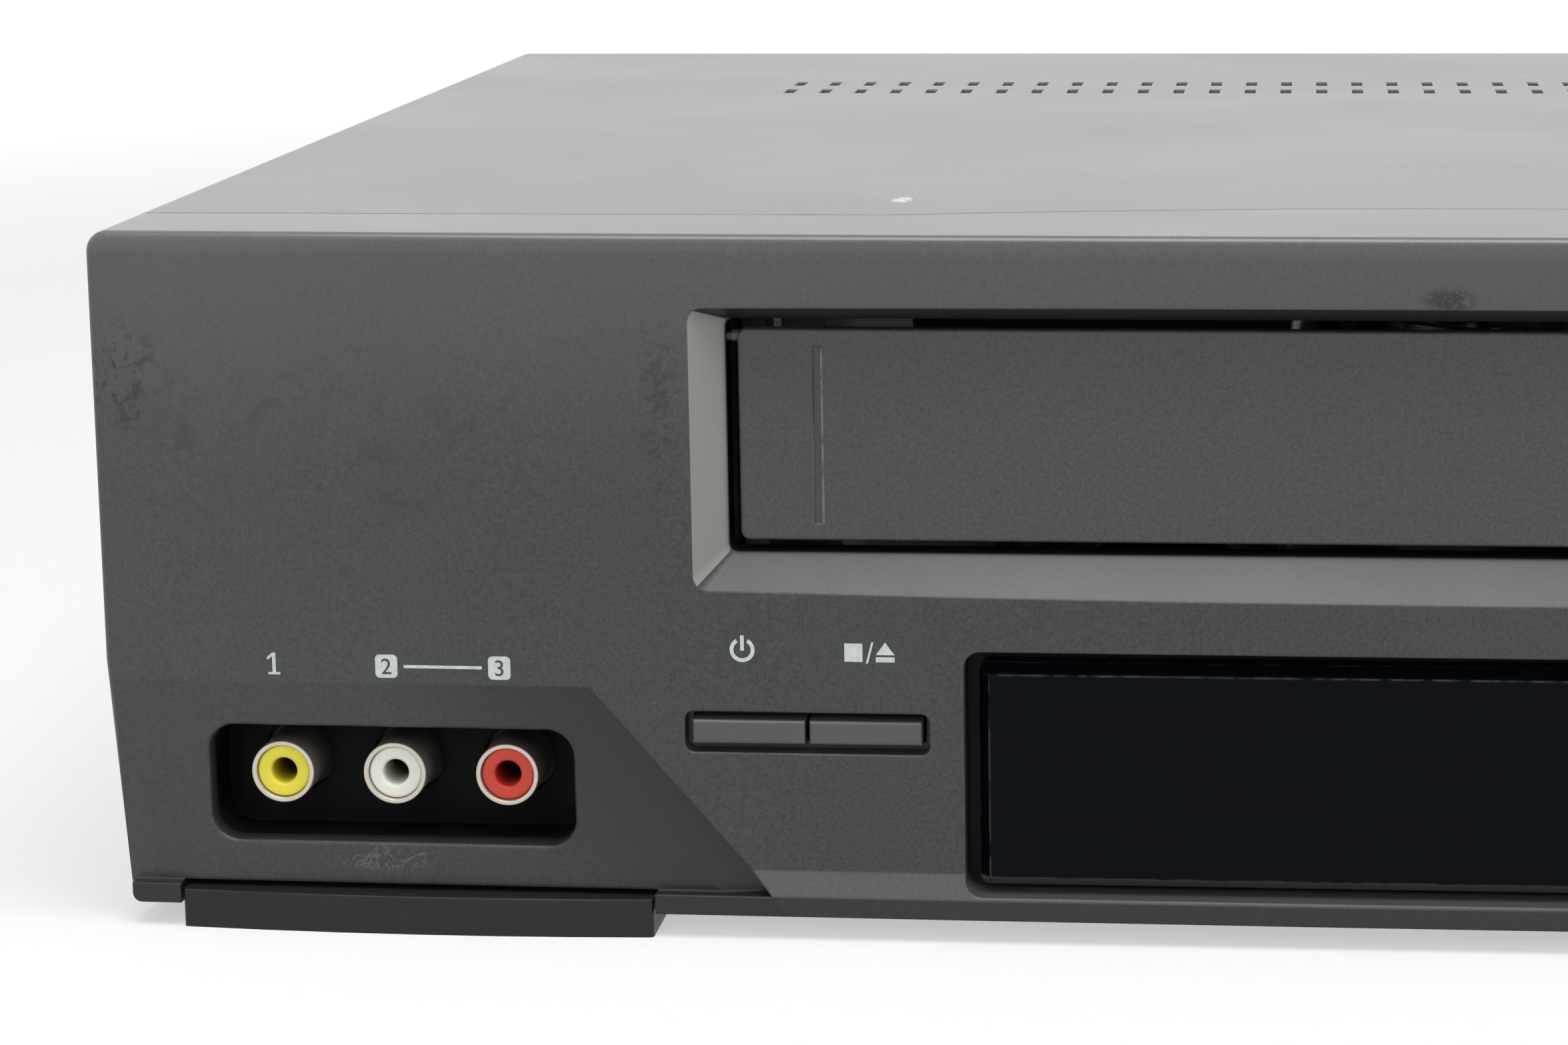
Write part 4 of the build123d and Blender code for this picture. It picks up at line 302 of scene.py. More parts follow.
bezelLook = {
    "dark": (0.015, 0.0165, 0.017), "light": (0.055, 0.059, 0.060), "worn": (0.20, 0.205, 0.20),
    "grain": 4200.0, "cloud": 26.0, "speckle": 1.7, "mottle": 0.35, "rub": 0.45,
    "rough": 0.35, "relief": 0.000008, "strength": 0.5, "round": 0.0005, "shine": 0.5,
    "coat": 0.5, "coatRough": 0.16, "coatFrom": (0.0885, 0.0908), "shade": frontShade,
    # painted shade: dull black mixed over what lies sunk behind the face
    "hollow": {
        "behind": (-0.1295, -0.1280), "jacks": (-0.1317, -0.1265), "jacksEnd": (-0.1175, -0.1170),
        "floor": (0.0042, 0.0046), "ceiling": (0.085, 0.087), "sides": (0.1745, 0.1750),
        "share": 0.92, "tint": (0.006, 0.006, 0.007)},
    "marks": (
        {"at": (-0.1755, -0.1318, 0.0725), "reach": (0.0045, 0.02, 0.007), "scale": 420.0,
         "cut": (0.5, 0.6), "share": 0.75, "colour": (0.012, 0.015, 0.02)},
        {"at": (-0.1058, -0.1338, 0.069), "reach": (0.003, 0.02, 0.011), "scale": 300.0,
         "cut": (0.48, 0.62), "share": 0.6, "colour": (0.012, 0.014, 0.018)},
        {"at": (-0.006, -0.1338, 0.0842), "reach": (0.003, 0.02, 0.0014), "scale": 900.0,
         "cut": (0.4, 0.5), "share": 0.9, "colour": (0.012, 0.012, 0.012)},
        {"at": (-0.15, -0.1338, 0.062), "reach": (0.032, 0.02, 0.014), "scale": 130.0,
         "cut": (0.5, 0.7), "share": 0.4, "colour": (0.018, 0.02, 0.023)},
        {"at": (-0.1435, -0.1318, 0.0094), "reach": (0.0060, 0.02, 0.0016), "scale": 260.0,
         "hair": 0.05, "share": 0.4, "colour": (0.22, 0.22, 0.215)},
    ),
}
doorLook = {
    "dark": (0.026, 0.028, 0.0275), "light": (0.072, 0.076, 0.074), "worn": (0.24, 0.24, 0.235),
    "grain": 4200.0, "cloud": 22.0, "speckle": 1.5, "mottle": 0.25, "rub": 0.6,
    "rough": 0.32, "relief": 0.000008, "strength": 0.5, "round": 0.0004, "shine": 0.5, "shade": doorShade,
}
keyLook = {
    "dark": (0.050, 0.052, 0.052), "light": (0.095, 0.097, 0.095), "worn": (0.24, 0.24, 0.235),
    "grain": 5500.0, "cloud": 60.0, "speckle": 0.6, "mottle": 0.3, "rub": 0.35,
    "rough": 0.3, "relief": 0.000006, "strength": 0.5, "round": 0.0003, "shine": 0.5,
}
footLook = {
    "dark": (0.007, 0.0075, 0.008), "light": (0.022, 0.0235, 0.0245), "worn": (0.19, 0.19, 0.19),
    "grain": 4200.0, "cloud": 40.0, "speckle": 0.9, "mottle": 0.3, "rub": 0.4,
    "rough": 0.38, "relief": 0.000008, "strength": 0.5, "round": 0.0004, "shine": 0.3,
}


# ---- the folded cover

coverLook = {
    "dark": (0.080, 0.080, 0.075), "light": (0.165, 0.164, 0.157), "worn": (0.5, 0.5, 0.48),
    "grain": 3600.0, "speckle": 1.1, "rough": 0.24, "relief": 0.000005, "shine": 0.5,
    "chip": {
        "at": (-0.0783, -0.0972, 0.092), "reach": (0.0013, 0.0030, 0.003), "paint": (0.85, 0.85, 0.83)},
    # painted shade: a dark line where the seam to the bezel stands open
    "slit": {
        "at": (-0.089, -0.1132, 0.092), "reach": (0.0034, 0.0004, 0.003), "paint": (0.01, 0.01, 0.01)},
}


def paintedSheet(name, look):
    # satin paint with fine orange peel, wiped streaks, dust and a few chips, and a painted shadow line in
    # the open seam
    made = Finish(name)
    peel = made.noise(look["grain"], 3.0, 0.6)
    dust = made.noise(look["grain"] * 0.5, 2.0, 0.75)
    cloud = made.noise(14.0, 4.0, 0.55, bend=0.5)
    wiped = made.noise(9.0, 5.0, 0.65, made.stretched((1.0, 7.0, 1.0)), bend=0.8)
    tone = (dust - 0.5) * look["speckle"] + (cloud - 0.5) * 0.3 + 0.5
    colour = made.mix(tone, look["dark"], look["light"])
    streak = wiped.between(0.56, 0.82) * 0.1
    colour = made.mix(streak, colour, look["worn"])
    scattered = made.cells(900.0)
    grit = scattered.maths("LESS_THAN", scattered, 0.12)
    colour = made.mix(grit * made.noise(40.0).between(0.5, 0.7) * 0.3, colour, look["worn"])
    soft = made.rounded(0.0006)
    rub = made.edges(soft, 0.03, 0.3) * made.noise(70.0, 3.0).between(0.4, 0.75)
    colour = made.mix(rub * 0.4, colour, look["worn"])
    if "chip" in look:
        ragged = made.noise(900.0, 4.0, 0.75, bend=2.5).between(0.5, 0.53)
        chip, slit = look["chip"], look["slit"]
        colour = made.mix(made.spot(chip["at"], chip["reach"], 0.6) * ragged, colour, chip["paint"])
        # painted shade in the open seam
        colour = made.mix(made.spot(slit["at"], slit["reach"], 0.5) * 0.8, colour, slit["paint"])
    rough = look["rough"] + (cloud - 0.5) * 0.14 + streak * 0.4 + (peel - 0.5) * 0.12
    normal = made.bump(peel + dust * 0.7, look["relief"], 0.5, soft)
    made.set(Base_Color=colour, Roughness=rough, Normal=normal, Specular_IOR_Level=look["shine"])
    return made.material


panelLook = {
    "dark": (0.06, 0.06, 0.06), "light": (0.12, 0.12, 0.118), "worn": (0.4, 0.4, 0.39),
    "grain": 3600.0, "speckle": 0.8, "rough": 0.4, "relief": 0.000006, "shine": 0.5,
}


# ---- plastics, metals and boards inside

def plainMoulding(name, look):
    # smooth injection moulding with slow flow marks and a trace of dust
    made = Finish(name)
    flow = made.noise(look.get("flow", 60.0), 3.0, 0.5, bend=0.6)
    fine = made.noise(3000.0, 2.0, 0.6)
    dark = tuple(c * 0.8 for c in look["colour"])
    light = tuple(min(1.0, c * 1.18) for c in look["colour"])
    colour = made.mix((flow - 0.5) * 0.8 + (fine - 0.5) * 0.4 + 0.5, dark, light)
    dusty = made.noise(200.0, 4.0, 0.7).between(0.55, 0.8) * look.get("dust", 0.06)
    colour = made.mix(dusty, colour, (0.45, 0.43, 0.4))
    soft = made.rounded(0.0003)
    rough = look["rough"] + (flow - 0.5) * 0.15 + dusty * 2.0
    made.set(Base_Color=colour, Roughness=rough, Normal=made.bump(fine, 0.00002, 0.5, soft))
    made.set(Specular_IOR_Level=look.get("shine", 0.5), Coat_Weight=look.get("coat", 0.0))
    return made.material


def workedMetal(name, look):
    # metal with rolling or turning lines, blotches of oxide and small pits
    made = Finish(name)
    lines = made.noise(look["line"], 3.0, 0.6, made.stretched(look["along"]))
    blotch = made.noise(look.get("blotch", 45.0), 4.0, 0.6, bend=0.7)
    pits = made.cells(1400.0).between(0.02, 0.1)
    dark = tuple(c * 0.72 for c in look["colour"])
    colour = made.mix((lines - 0.5) * 0.5 + (blotch - 0.5) * 0.7 + 0.55, dark, look["colour"])
    colour = made.mix((1 - pits) * 0.25, colour, (0.12, 0.1, 0.08))
    rough = look["rough"] + (blotch - 0.5) * 0.25 + (lines - 0.5) * 0.15
    normal = made.bump(lines, look.get("relief", 0.00001), 0.5, made.rounded(0.0002))
    made.set(Base_Color=colour, Roughness=rough, Normal=normal, Metallic=look.get("metal", 1.0))
    return made.material


def spangledZinc(name, look):
    # hot-dip spangle: flat crystals of differing tone, with rolling lines over them
    made = Finish(name)
    warp = made.noise(120.0, 2.0)
    tone = made.node("ShaderNodeSeparateColor", inputs={0: made.cells(look["crystal"], "Color")})
    rolled = made.noise(300.0, 3.0, 0.6, made.stretched((1.0, 0.05, 1.0)))
    dark = tuple(c * 0.7 for c in look["colour"])
    colour = made.mix(tone * 0.6 + rolled * 0.3 + warp * 0.2, dark, look["colour"])
    rough = look["rough"] + tone * 0.16 + (rolled - 0.5) * 0.1
    normal = made.bump(tone + rolled * 0.4, 0.00001, 0.4, made.rounded(0.0003))
    made.set(Base_Color=colour, Roughness=rough, Normal=normal, Metallic=0.9)
    return made.material


def turnedRings(name, look):
    # fine rings about an upright axis, as a lathe leaves them
    made = Finish(name)
    x, y, z = made.axes()
    middle = look["middle"]
    away = ((x - middle[0]) ** 2 + (y - middle[1]) ** 2) ** 0.5
    rings = (away * look["pitch"]).wave() * 0.5 + (z * look["pitch"]).wave() * 0.5
    haze = made.noise(80.0, 4.0, 0.6)
    dark = tuple(c * 0.8 for c in look["colour"])
    colour = made.mix(haze, dark, look["colour"])
    rough = look["rough"] + (haze - 0.5) * 0.12
    made.set(Base_Color=colour, Roughness=rough, Metallic=1.0)
    made.set(Normal=made.bump(rings, 0.000004, 0.5, made.rounded(0.0003)))
    return made.material


def circuitBoard(name, look):
    # brown laminate with lacquered copper runs showing through as paler bands
    made = Finish(name)
    weave = made.noise(900.0, 3.0, 0.6, made.stretched((1.0, 3.0, 1.0)))
    runs = made.node(
        "ShaderNodeTexBrick", {"offset": 0.37, "squash": 0.6, "squash_frequency": 3},
        {"Vector": made.place(), "Color1": (0, 0, 0), "Color2": (0.35, 0.35, 0.35), "Mortar": (1, 1, 1),
         "Scale": look["runs"], "Mortar Size": 0.012, "Mortar Smooth": 0.1, "Row Height": 0.11})
    dark = tuple(c * 0.75 for c in look["colour"])
    colour = made.mix(weave, dark, look["colour"])
    colour = made.mix(runs, colour, look["copper"], "SOFT_LIGHT")
    made.set(Base_Color=colour, Roughness=0.42 + (weave - 0.5) * 0.2)
    made.set(Normal=made.bump(weave, 0.00001, 0.4, made.rounded(0.0002)))
    return made.material


def stackedPlates(name, look):
    # varnished laminations: thin plates stood on edge, a dark gap at each
    made = Finish(name)
    y = made.axes()[1]
    plates = (y * (2 * math.pi / look["plate"])).wave().between(-0.95, -0.4)
    varnish = made.noise(70.0, 4.0, 0.6)
    dark = tuple(c * 0.35 for c in look["colour"])
    colour = made.mix(plates * 0.7 + varnish * 0.3, dark, look["colour"])
    made.set(Base_Color=colour, Roughness=0.5 - varnish * 0.2, Metallic=0.6)
    made.set(Normal=made.bump(plates, 0.00004, 0.6))
    return made.material


def woundTape(name, look):
    # overlapping turns of tape round the coil
    made = Finish(name)
    x, z = made.axes()[::2]
    turns = made.node("ShaderNodeMath", {"operation": "FRACT"}, {0: x / look["turn"] + z * 6.0})
    stain = made.noise(60.0, 4.0, 0.6)
    dark = tuple(c * 0.6 for c in look["colour"])
    colour = made.mix(stain * 0.6 + turns * 0.4, dark, look["colour"])
    made.set(Base_Color=colour, Roughness=0.35 + stain * 0.15, Normal=made.bump(turns, 0.00005, 0.5))
    return made.material


def tintedWindow(name, look):
    # near-black acrylic: a painted reflection on the lower bevel and a painted highlight along the rim,
    # specks of dust and fine wiping marks
    made = Finish(name)
    z = made.axes()[2]
    wiped = made.noise(40.0, 4.0, 0.6, made.stretched((1.0, 1.0, 6.0)), bend=0.6)
    scattered = made.cells(260.0)
    specks = scattered.maths("LESS_THAN", scattered, 0.045) * made.noise(30.0).between(0.5, 0.62)
    colour = made.mix(wiped * 0.7, look["dark"], look["light"])
    colour = made.mix(specks * 0.5, colour, (0.3, 0.31, 0.32))
    soft = made.rounded(0.0004)
    # painted highlight: a pale line along the window's edges
    rim = made.edges(soft, 0.03, 0.2) * made.noise(400.0, 3.0).between(0.35, 0.6)
    colour = made.mix(rim * 0.8, colour, look["rim"])
    # painted reflection: the lower bevel made pale grey
    bevel = 1 - z.past(look["bevelTop"])
    colour = made.mix(bevel, colour, look["bevel"])
    made.set(Base_Color=colour, Roughness=0.12 + wiped * 0.08, Normal=soft)
    made.set(Specular_IOR_Level=look["shine"])
    return made.material


finishes = {
    "bezel_plastic": (mouldedShell, bezelLook),
    "door_plastic": (mouldedShell, doorLook),
    "key_plastic": (mouldedShell, keyLook),
    "foot_plastic": (mouldedShell, footLook),
    "cover_paint": (paintedSheet, coverLook),
    "panel_paint": (paintedSheet, panelLook),
    "window_acrylic": (tintedWindow, {
        # the rim and bevel colours are a painted highlight and a painted reflection
        "dark": (0.0008, 0.0016, 0.0030), "light": (0.0025, 0.0042, 0.0065), "rim": (0.24, 0.25, 0.26),
        "bevel": (0.075, 0.078, 0.080), "bevelTop": 0.00845, "shine": 0.06}),
    "rubber_black": (plainMoulding, {
        "colour": (0.022, 0.022, 0.022), "rough": 0.75, "dust": 0.2, "shine": 0.3}),
    "tube_glass": (plainMoulding, {"colour": (0.03, 0.036, 0.04), "rough": 0.12, "coat": 0.6}),
    "holder_plastic": (plainMoulding, {"colour": (0.6, 0.6, 0.56), "rough": 0.5}),
    "switch_plastic": (plainMoulding, {"colour": (0.022, 0.022, 0.024), "rough": 0.4}),
    "jack_body": (plainMoulding, {"colour": (0.02, 0.02, 0.021), "rough": 0.5}),
    "insert_yellow": (plainMoulding, {"colour": (0.82, 0.73, 0.06), "rough": 0.32, "dust": 0.02}),
    "insert_white": (plainMoulding, {"colour": (0.86, 0.85, 0.77), "rough": 0.32, "dust": 0.02}),
    "insert_red": (plainMoulding, {"colour": (0.64, 0.055, 0.03), "rough": 0.32, "dust": 0.02}),
    "socket_plastic": (plainMoulding, {"colour": (0.03, 0.03, 0.032), "rough": 0.45}),
    "capacitor_sleeve": (plainMoulding, {"colour": (0.03, 0.05, 0.13), "rough": 0.22, "coat": 0.4}),
    "reel_plastic": (plainMoulding, {"colour": (0.04, 0.04, 0.045), "rough": 0.4}),
    "gear_plastic": (plainMoulding, {"colour": (0.72, 0.72, 0.67), "rough": 0.38}),
    "nickel": (workedMetal, {
        "colour": (0.70, 0.64, 0.56), "rough": 0.36, "metal": 0.82, "line": 500.0, "along": (1.0, 8.0, 1.0),
        "blotch": 260.0}),
    "screw_steel": (workedMetal, {
        "colour": (0.42, 0.41, 0.40), "rough": 0.35, "line": 900.0, "along": (1.0, 1.0, 1.0)}),
    "polished_steel": (workedMetal, {
        "colour": (0.74, 0.74, 0.75), "rough": 0.14, "line": 700.0, "along": (1.0, 1.0, 9.0)}),
    "arm_steel": (workedMetal, {
        "colour": (0.60, 0.59, 0.55), "rough": 0.3, "line": 400.0, "along": (1.0, 7.0, 1.0)}),
    "motor_can": (workedMetal, {
        "colour": (0.52, 0.53, 0.54), "rough": 0.26, "line": 300.0, "along": (1.0, 1.0, 12.0)}),
    "head_ferrite": (workedMetal, {
        "colour": (0.16, 0.16, 0.17), "rough": 0.1, "line": 900.0, "along": (1.0, 1.0, 1.0)}),
    "brass": (workedMetal, {
        "colour": (0.70, 0.53, 0.25), "rough": 0.28, "line": 600.0, "along": (1.0, 1.0, 8.0)}),
    "zinc_steel": (spangledZinc, {"colour": (0.66, 0.67, 0.68), "rough": 0.3, "crystal": 150.0}),
    "drum_aluminium": (turnedRings, {
        "colour": (0.80, 0.80, 0.81), "rough": 0.16, "pitch": 14000.0, "middle": (0.0, 0.043)}),
    "board_laminate": (circuitBoard, {
        "colour": (0.30, 0.19, 0.08), "copper": (0.75, 0.7, 0.35), "runs": 40.0}),
    "core_steel": (stackedPlates, {"colour": (0.34, 0.34, 0.35), "plate": 0.001}),
    "winding_tape": (woundTape, {"colour": (0.68, 0.50, 0.10), "turn": 0.012}),
}
materials = {name: make(name, look) for name, (make, look) in finishes.items()}
for part in frame["record"]["subparts"]:
    mesh = nodes[part["node"]].data
    mesh.materials.clear()
    mesh.materials.append(materials[part["material_slot"]])
print("finishes made:", len(materials))


# ---- meshes from formulas

def meshPiece(name, points, faces, material, body, slot=None, smooth=True):
    mesh = bpy.data.meshes.new(name)
    mesh.from_pydata(points.tolist(), [], faces.tolist())
    mesh.polygons.foreach_set("use_smooth", [smooth] * len(mesh.polygons))
    mesh.materials.append(material)
    mesh.update()
    piece = bpy.data.objects.new(name, mesh)
    scene.collection.objects.link(piece)
    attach(piece, body)
    return piece


def gridFaces(rows, columns, closed):
    # quads between neighbouring rows and columns, wrapping round the columns where closed
    across = np.arange(columns if closed else columns - 1)
    row, column = np.meshgrid(np.arange(rows - 1), across, indexing="ij")
    here, below = row * columns, (row + 1) * columns
    after = (column + 1) % columns
    corners = [here + column, here + after, below + after, below + column]
    return np.stack(corners, axis=-1).reshape(-1, 4)


def turned(profile, centre, steps):
    # each point (radius, y) of the profile is carried round a line along Y: x = r cos t, z = r sin t
    angle = np.linspace(0.0, 2 * np.pi, steps, endpoint=False)
    radius, along = np.array(profile).T
    x = centre[0] + np.outer(radius, np.cos(angle))
    z = centre[1] + np.outer(radius, np.sin(angle))
    y = np.repeat(along[:, None], steps, axis=1)
    return np.stack([x, y, z], axis=-1).reshape(-1, 3), gridFaces(len(radius), steps, True)


def joined(shapes):
    points, faces, start = [], [], 0
    for shapePoints, shapeFaces in shapes:
        points.append(shapePoints)
        faces.append(shapeFaces + start)
        start += len(shapePoints)
    return np.concatenate(points), np.concatenate(faces)


def arc(middle, radius, first, last, count):
    # points on a circle about middle, from one angle to the other in degrees
    angle = np.radians(np.linspace(first, last, count))
    return np.stack([middle[0] + radius * np.cos(angle), middle[1] + radius * np.sin(angle)], axis=-1)


# ---- phono sockets

jackLook = {"outer": 0.00415, "bore": 0.0035, "rim": 0.00022, "hole": 0.0017, "cupRim": 0.0003, "steps": 72}
shellLow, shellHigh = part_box("jack_shells")
jackPlaces = []
for cup in ("yellow_insert", "white_insert", "red_insert"):
    low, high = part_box(cup)
    jackPlaces.append(((low.x + high.x) / 2, (low.z + high.z) / 2))
shellProfile = np.concatenate([
    [[jackLook["bore"], shellHigh.y]],
    arc((jackLook["bore"] + jackLook["rim"], shellLow.y + jackLook["rim"]), jackLook["rim"], 180, 270, 8),
    arc((jackLook["outer"] - jackLook["rim"], shellLow.y + jackLook["rim"]), jackLook["rim"], 270, 360, 8),
    [[jackLook["outer"], shellHigh.y], [jackLook["bore"], shellHigh.y]],
])
barrels = joined([turned(shellProfile, place, jackLook["steps"]) for place in jackPlaces])
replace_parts(meshPiece("jackBarrels", *barrels, materials["nickel"], "housing", "nickel"), "jack_shells")
for cup, place in zip(("yellow", "white", "red"), jackPlaces):
    low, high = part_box(cup + "_insert")
    outer, hole, rim = (high.x - low.x) / 2, jackLook["hole"], jackLook["cupRim"]
    cupProfile = np.concatenate([
        [[outer, high.y]],
        arc((outer - rim, low.y + rim), rim, 0, -90, 6),
        arc((hole + rim * 1.6, low.y + rim * 1.6), rim * 1.6, 270, 180, 8),
        [[hole, high.y], [outer, high.y]],
    ])
    points, faces = turned(cupProfile, place, jackLook["steps"])
    slot = "insert_" + cup
    piece = meshPiece(cup + "Cup", points, faces[:, ::-1], materials[slot], "housing", slot)
    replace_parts(piece, cup + "_insert")
print("sockets made")


# ---- printed marks on the bowed face

printLook = {"ink": (0.66, 0.71, 0.69), "lift": 0.00003, "bow": 0.0024, "halfWidth": 0.18, "lip": 0.0012}
bowRadius = (printLook["halfWidth"] ** 2 + printLook["bow"] ** 2) / (2 * printLook["bow"])
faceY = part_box("front_bezel")[0].y + printLook["lip"]


def inkFinish():
    made = Finish("printInk")
    worn = made.noise(1400.0, 4.0, 0.7)
    colour = made.mix(worn.between(0.35, 0.75), tuple(c * 0.8 for c in printLook["ink"]), printLook["ink"])
    made.set(Base_Color=colour, Roughness=0.5 + worn * 0.2)
    return made.material


def onFace(flat, lift):
    # a point (x, z) of the print is put on the bow: y = face + radius - sqrt(radius^2 - x^2)
    x, z = np.array(flat).T
    y = faceY + bowRadius - np.sqrt(bowRadius ** 2 - x ** 2) - lift
    return np.stack([x, y, z], axis=-1)


def printed(name, shapes, material, lift=printLook["lift"]):
    points, faces = joined([(onFace(flat, lift), quads) for flat, quads in shapes])
    piece = meshPiece(name, points, faces, material, "housing", "bezel_plastic", smooth=False)
    thick = piece.modifiers.new("ink", "SOLIDIFY")
    thick.thickness = lift
    thick.offset = -1
    return piece


def strip(inner, outer):
    # quads between two lines of points, seen from the front
    count = len(inner)
    flat = np.concatenate([inner, outer])
    return flat, gridFaces(2, count, False)


def block(left, right, low, high, lean=0.0):
    # an upright bar, its top moved sideways by lean
    lower = np.array([[left, low], [right, low]])
    upper = np.array([[left + lean, high], [right + lean, high]])
    return strip(lower, upper)


def roundedPlate(middle, width, height, corner, steps=6):
    # the lower and upper half outline of a rounded rectangle, joined by upright quads
    dx, dz = width / 2 - corner, height / 2 - corner
    upper = np.concatenate([
        arc((middle[0] - dx, middle[1] + dz), corner, 180, 90, steps),
        arc((middle[0] + dx, middle[1] + dz), corner, 90, 0, steps)])
    lower = upper * [1, -1] + [0, 2 * middle[1]]
    return strip(lower, upper)


def numeral(text, middle, height):
    # a figure from Blender's own font, flat, as points (x, z) and its faces
    curve = bpy.data.curves.new("figure", "FONT")
    curve.body = text
    curve.size = height / 0.7
    holder = bpy.data.objects.new("figure", curve)
    mesh = bpy.data.meshes.new_from_object(holder)
    bpy.data.objects.remove(holder)
    points = np.zeros(len(mesh.vertices) * 3)
    mesh.vertices.foreach_get("co", points)
    flat = points.reshape(-1, 3)[:, :2]
    flat += np.array(middle) - (flat.min(0) + flat.max(0)) / 2
    mesh.calc_loop_triangles()
    corners = np.zeros(len(mesh.loop_triangles) * 3, int)
    mesh.loop_triangles.foreach_get("vertices", corners)
    return flat, corners.reshape(-1, 3)


ink = inkFinish()
markLook = {  # a block is left, right, low, high and lean; a wedge is half its width at each of two heights
    "standby": {"at": (-0.09572, 0.03836), "radii": (0.00112, 0.00162), "ends": (60, -240),
                "stem": 0.00024, "stemLow": -0.0001, "stemHigh": 0.0019},
    "stop": (-0.0825, -0.08017, 0.0370, 0.0394),
    "slash": (-0.07975, -0.07948, 0.0368, 0.0396, 0.00075),
    "eject": {"middle": -0.07724, "wedge": ((0.00122, 0.03793), (0.00001, 0.03957)),
              "bar": (0.03698, 0.03765)},
    "plate": {"z": 0.0354, "size": (0.00293, 0.0031, 0.0006), "link": 0.0023, "linkHalf": 0.0002,
              "figure": 0.0021, "lift": 0.00006},
    "one": {"z": 0.0355, "height": 0.0029, "stem": 0.00022, "foot": 0.0008, "thick": 0.0003,
            "flag": 0.0009, "flagLow": 0.0010, "flagHigh": 0.0006, "flagRoot": 0.0005},
}

standby = markLook["standby"]
standbyX, standbyZ = standby["at"]
ring = strip(*(arc(standby["at"], radius, *standby["ends"], 40) for radius in standby["radii"]))
stem = block(standbyX - standby["stem"], standbyX + standby["stem"],
             standbyZ + standby["stemLow"], standbyZ + standby["stemHigh"])
printed("standbyMark", [ring, stem], ink)

eject = markLook["eject"]
middle = eject["middle"]
wedge = strip(*([[middle - half, z], [middle + half, z]] for half, z in eject["wedge"]))
half = eject["wedge"][0][0]
bar = block(middle - half, middle + half, *eject["bar"])
printed("stopEjectMark", [block(*markLook["stop"]), block(*markLook["slash"]), wedge, bar], ink)

plate = markLook["plate"]
plates = [roundedPlate((place[0], plate["z"]), *plate["size"]) for place in jackPlaces[1:]]
link = np.linspace(jackPlaces[1][0] + plate["link"], jackPlaces[2][0] - plate["link"], 13)
sides = (plate["z"] - plate["linkHalf"], plate["z"] + plate["linkHalf"])
plates.append(strip(*(np.stack([link, np.full_like(link, side)], axis=-1) for side in sides)))
printed("socketPlates", plates, ink)

one = markLook["one"]
oneX, low, high = jackPlaces[0][0], one["z"] - one["height"] / 2, one["z"] + one["height"] / 2
oneStem = block(oneX - one["stem"], oneX + one["stem"], low + one["thick"], high)
oneFoot = block(oneX - one["foot"], oneX + one["foot"], low, low + one["thick"])
oneFlag = strip(
    [[oneX - one["flag"], high - one["flagLow"]], [oneX - one["stem"], high - one["flagRoot"]]],
    [[oneX - one["flag"], high - one["flagHigh"]], [oneX - one["stem"], high]])
printed("socketNumber", [oneStem, oneFoot, oneFlag], ink)
figures = [
    numeral(text, (place[0], plate["z"]), plate["figure"]) for text, place in zip("23", jackPlaces[1:])]
printed("plateNumbers", figures, materials["bezel_plastic"], plate["lift"])
print("marks printed")


# ---- floor, light and camera

def pureBackground(owner):  # 1 for the rays that see the background directly, by gloss or through glass
    rays = owner.node("ShaderNodeLightPath").socket.node.outputs
    kinds = ("Is Camera Ray", "Is Glossy Ray", "Is Transmission Ray")
    seen, glossy, through = [Signal(owner, rays[kind]) for kind in kinds]
    return seen.larger(glossy).larger(through)


lightLook = {
    "sky": 0.46, "paper": 0.42, "glow": 0.50, "farGlow": 0.9, "fade": (0.5, 1.4), "floor": 3.0, "steps": 13,
    "top": {"place": (0.05, -0.35, 1.15), "aim": (0.0, -0.1, 0.05), "size": (1.0, 0.7), "power": 11.0},
    "right": {"place": (1.3, -0.5, 0.32), "aim": (0.0, -0.1, 0.05), "size": (0.6, 0.6), "power": 7.0,
              "mirrored": False},
    "left": {"place": (-0.5, -1.6, 0.7), "aim": (-0.1, -0.1, 0.05), "size": (1.2, 0.8), "power": 8.0,
             "mirrored": False},
}
world = bpy.data.worlds.new("softbox")
world.use_nodes = True
scene.world = world
sky = Finish("sky", world.node_tree)
background = world.node_tree.nodes["Background"]
direct = pureBackground(sky)
sky.put(background.inputs["Color"], (1.0, 1.0, 1.0))
sky.put(background.inputs["Strength"], direct * (1 - lightLook["sky"]) + lightLook["sky"])

steps = lightLook["steps"]
sweep = np.linspace(-lightLook["floor"], lightLook["floor"], steps)
floorX, floorY = np.meshgrid(sweep, sweep, indexing="ij")
floorPoints = np.stack([floorX, floorY, np.zeros_like(floorX)], axis=-1).reshape(-1, 3)
floorMesh = bpy.data.meshes.new("floor")
floorMesh.from_pydata(floorPoints.tolist(), [], gridFaces(steps, steps, False)[:, ::-1].tolist())
floor = bpy.data.objects.new("floor", floorMesh)
scene.collection.objects.link(floor)
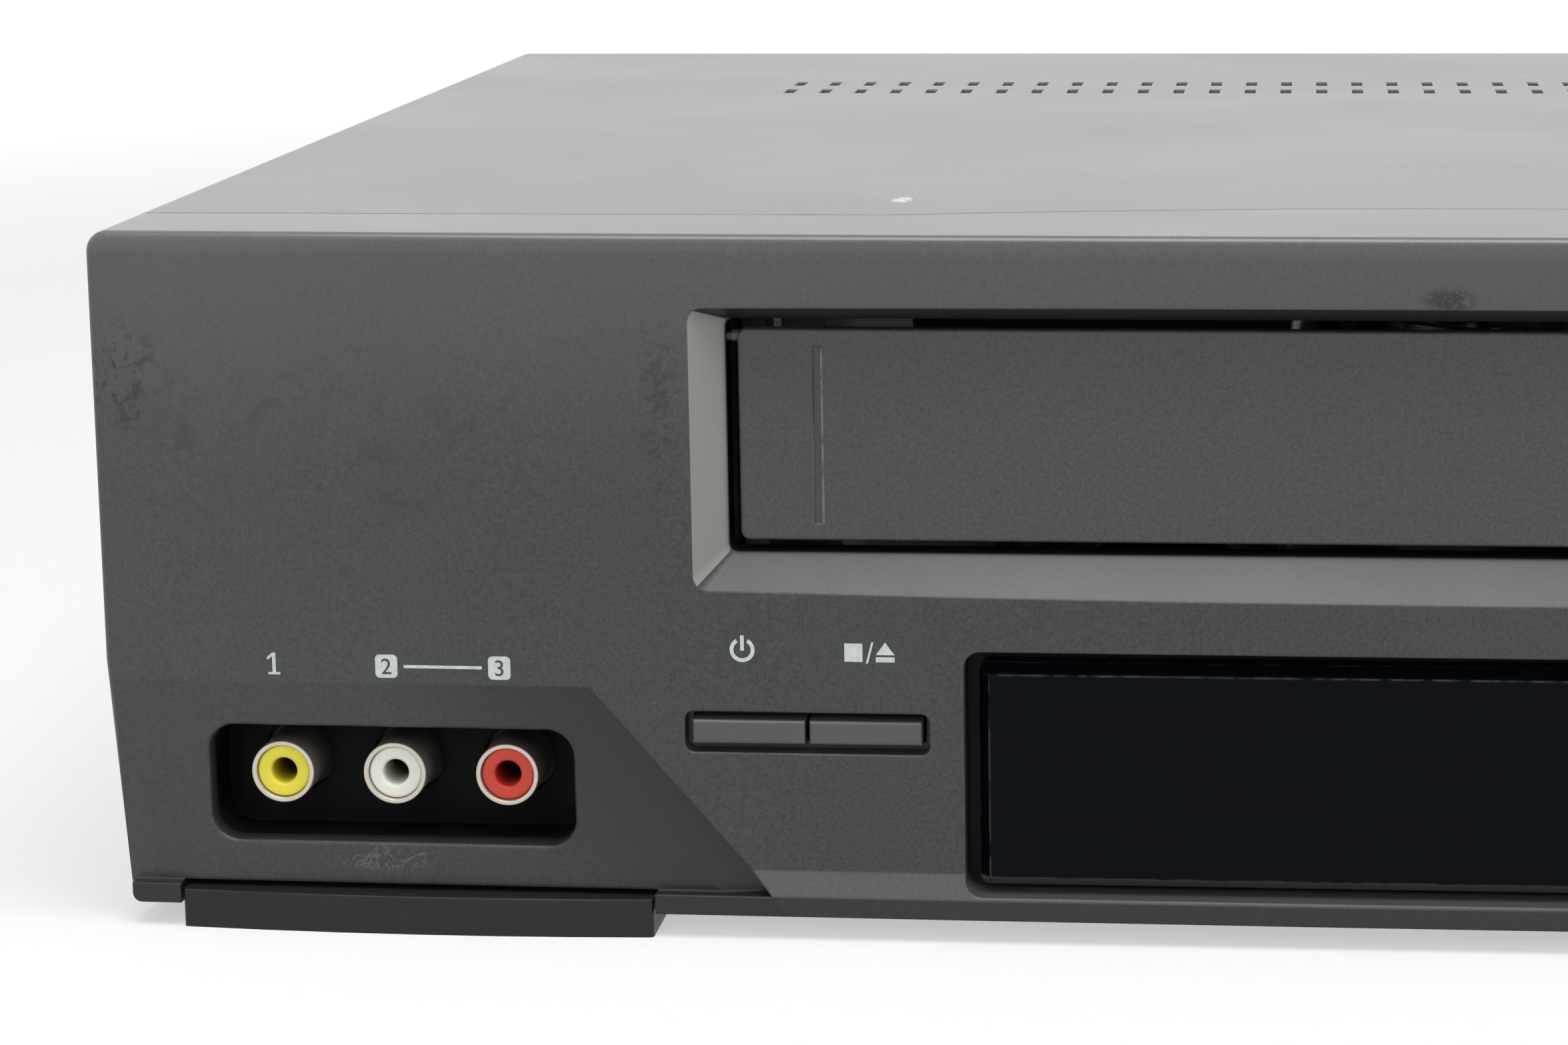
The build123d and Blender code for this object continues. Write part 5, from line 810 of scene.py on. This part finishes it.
# grey paper that glows for the rays that see it, so that it reads white and keeps its shadows
paper = Finish("paper")
fibre = paper.noise(300.0, 4.0, 0.6)
across, along = paper.axes()[:2]
away = (across ** 2 + along ** 2) ** 0.5
far = away.between(*lightLook["fade"])
glow = far * (lightLook["farGlow"] - lightLook["glow"]) + lightLook["glow"]
paper.set(Base_Color=paper.mix(fibre, (lightLook["paper"] * 0.97,) * 3, (lightLook["paper"] * 1.03,) * 3))
paper.set(Roughness=0.9, Specular_IOR_Level=0.0)
shining = {"Color": (1.0, 1.0, 1.0), "Strength": glow * pureBackground(paper)}
glowing = paper.node("ShaderNodeEmission", inputs=shining)
whole = paper.node("ShaderNodeAddShader", inputs={0: Signal(paper, paper.shader.outputs[0]), 1: glowing})
paper.put(paper.tree.nodes["Material Output"].inputs["Surface"], whole)
floorMesh.materials.append(paper.material)

for name in ("top", "right", "left"):
    look = lightLook[name]
    light = bpy.data.lights.new(name + "Lamp", "AREA")
    light.shape = "RECTANGLE"
    light.size, light.size_y = look["size"]
    light.energy = look["power"]
    lamp = bpy.data.objects.new(name + "Lamp", light)
    lamp.location = look["place"]
    lamp.rotation_euler = (Vector(look["aim"]) - Vector(look["place"])).to_track_quat("-Z", "Y").to_euler()
    lamp.visible_glossy = look.get("mirrored", True)
    scene.collection.objects.link(lamp)

cameraLook = {
    "place": (-0.02294, -0.5920, 0.15474), "pitch": -9.762, "roll": 0.391, "yaw": 4.346,
    "lens": 85.244, "shift": (-0.16, -0.10),
}
cameraData = bpy.data.cameras.new("camera")
cameraData.sensor_width = 36.0
cameraData.lens = cameraLook["lens"]
cameraData.shift_x, cameraData.shift_y = cameraLook["shift"]
cameraData.clip_start = 0.01
camera = bpy.data.objects.new("camera", cameraData)
turn = (Matrix.Rotation(math.radians(cameraLook["yaw"]), 4, "Z")
        @ Matrix.Rotation(math.radians(90 + cameraLook["pitch"]), 4, "X")
        @ Matrix.Rotation(math.radians(-cameraLook["roll"]), 4, "Z"))
camera.matrix_world = Matrix.Translation(cameraLook["place"]) @ turn
scene.collection.objects.link(camera)
scene.camera = camera
print("light and camera ready")
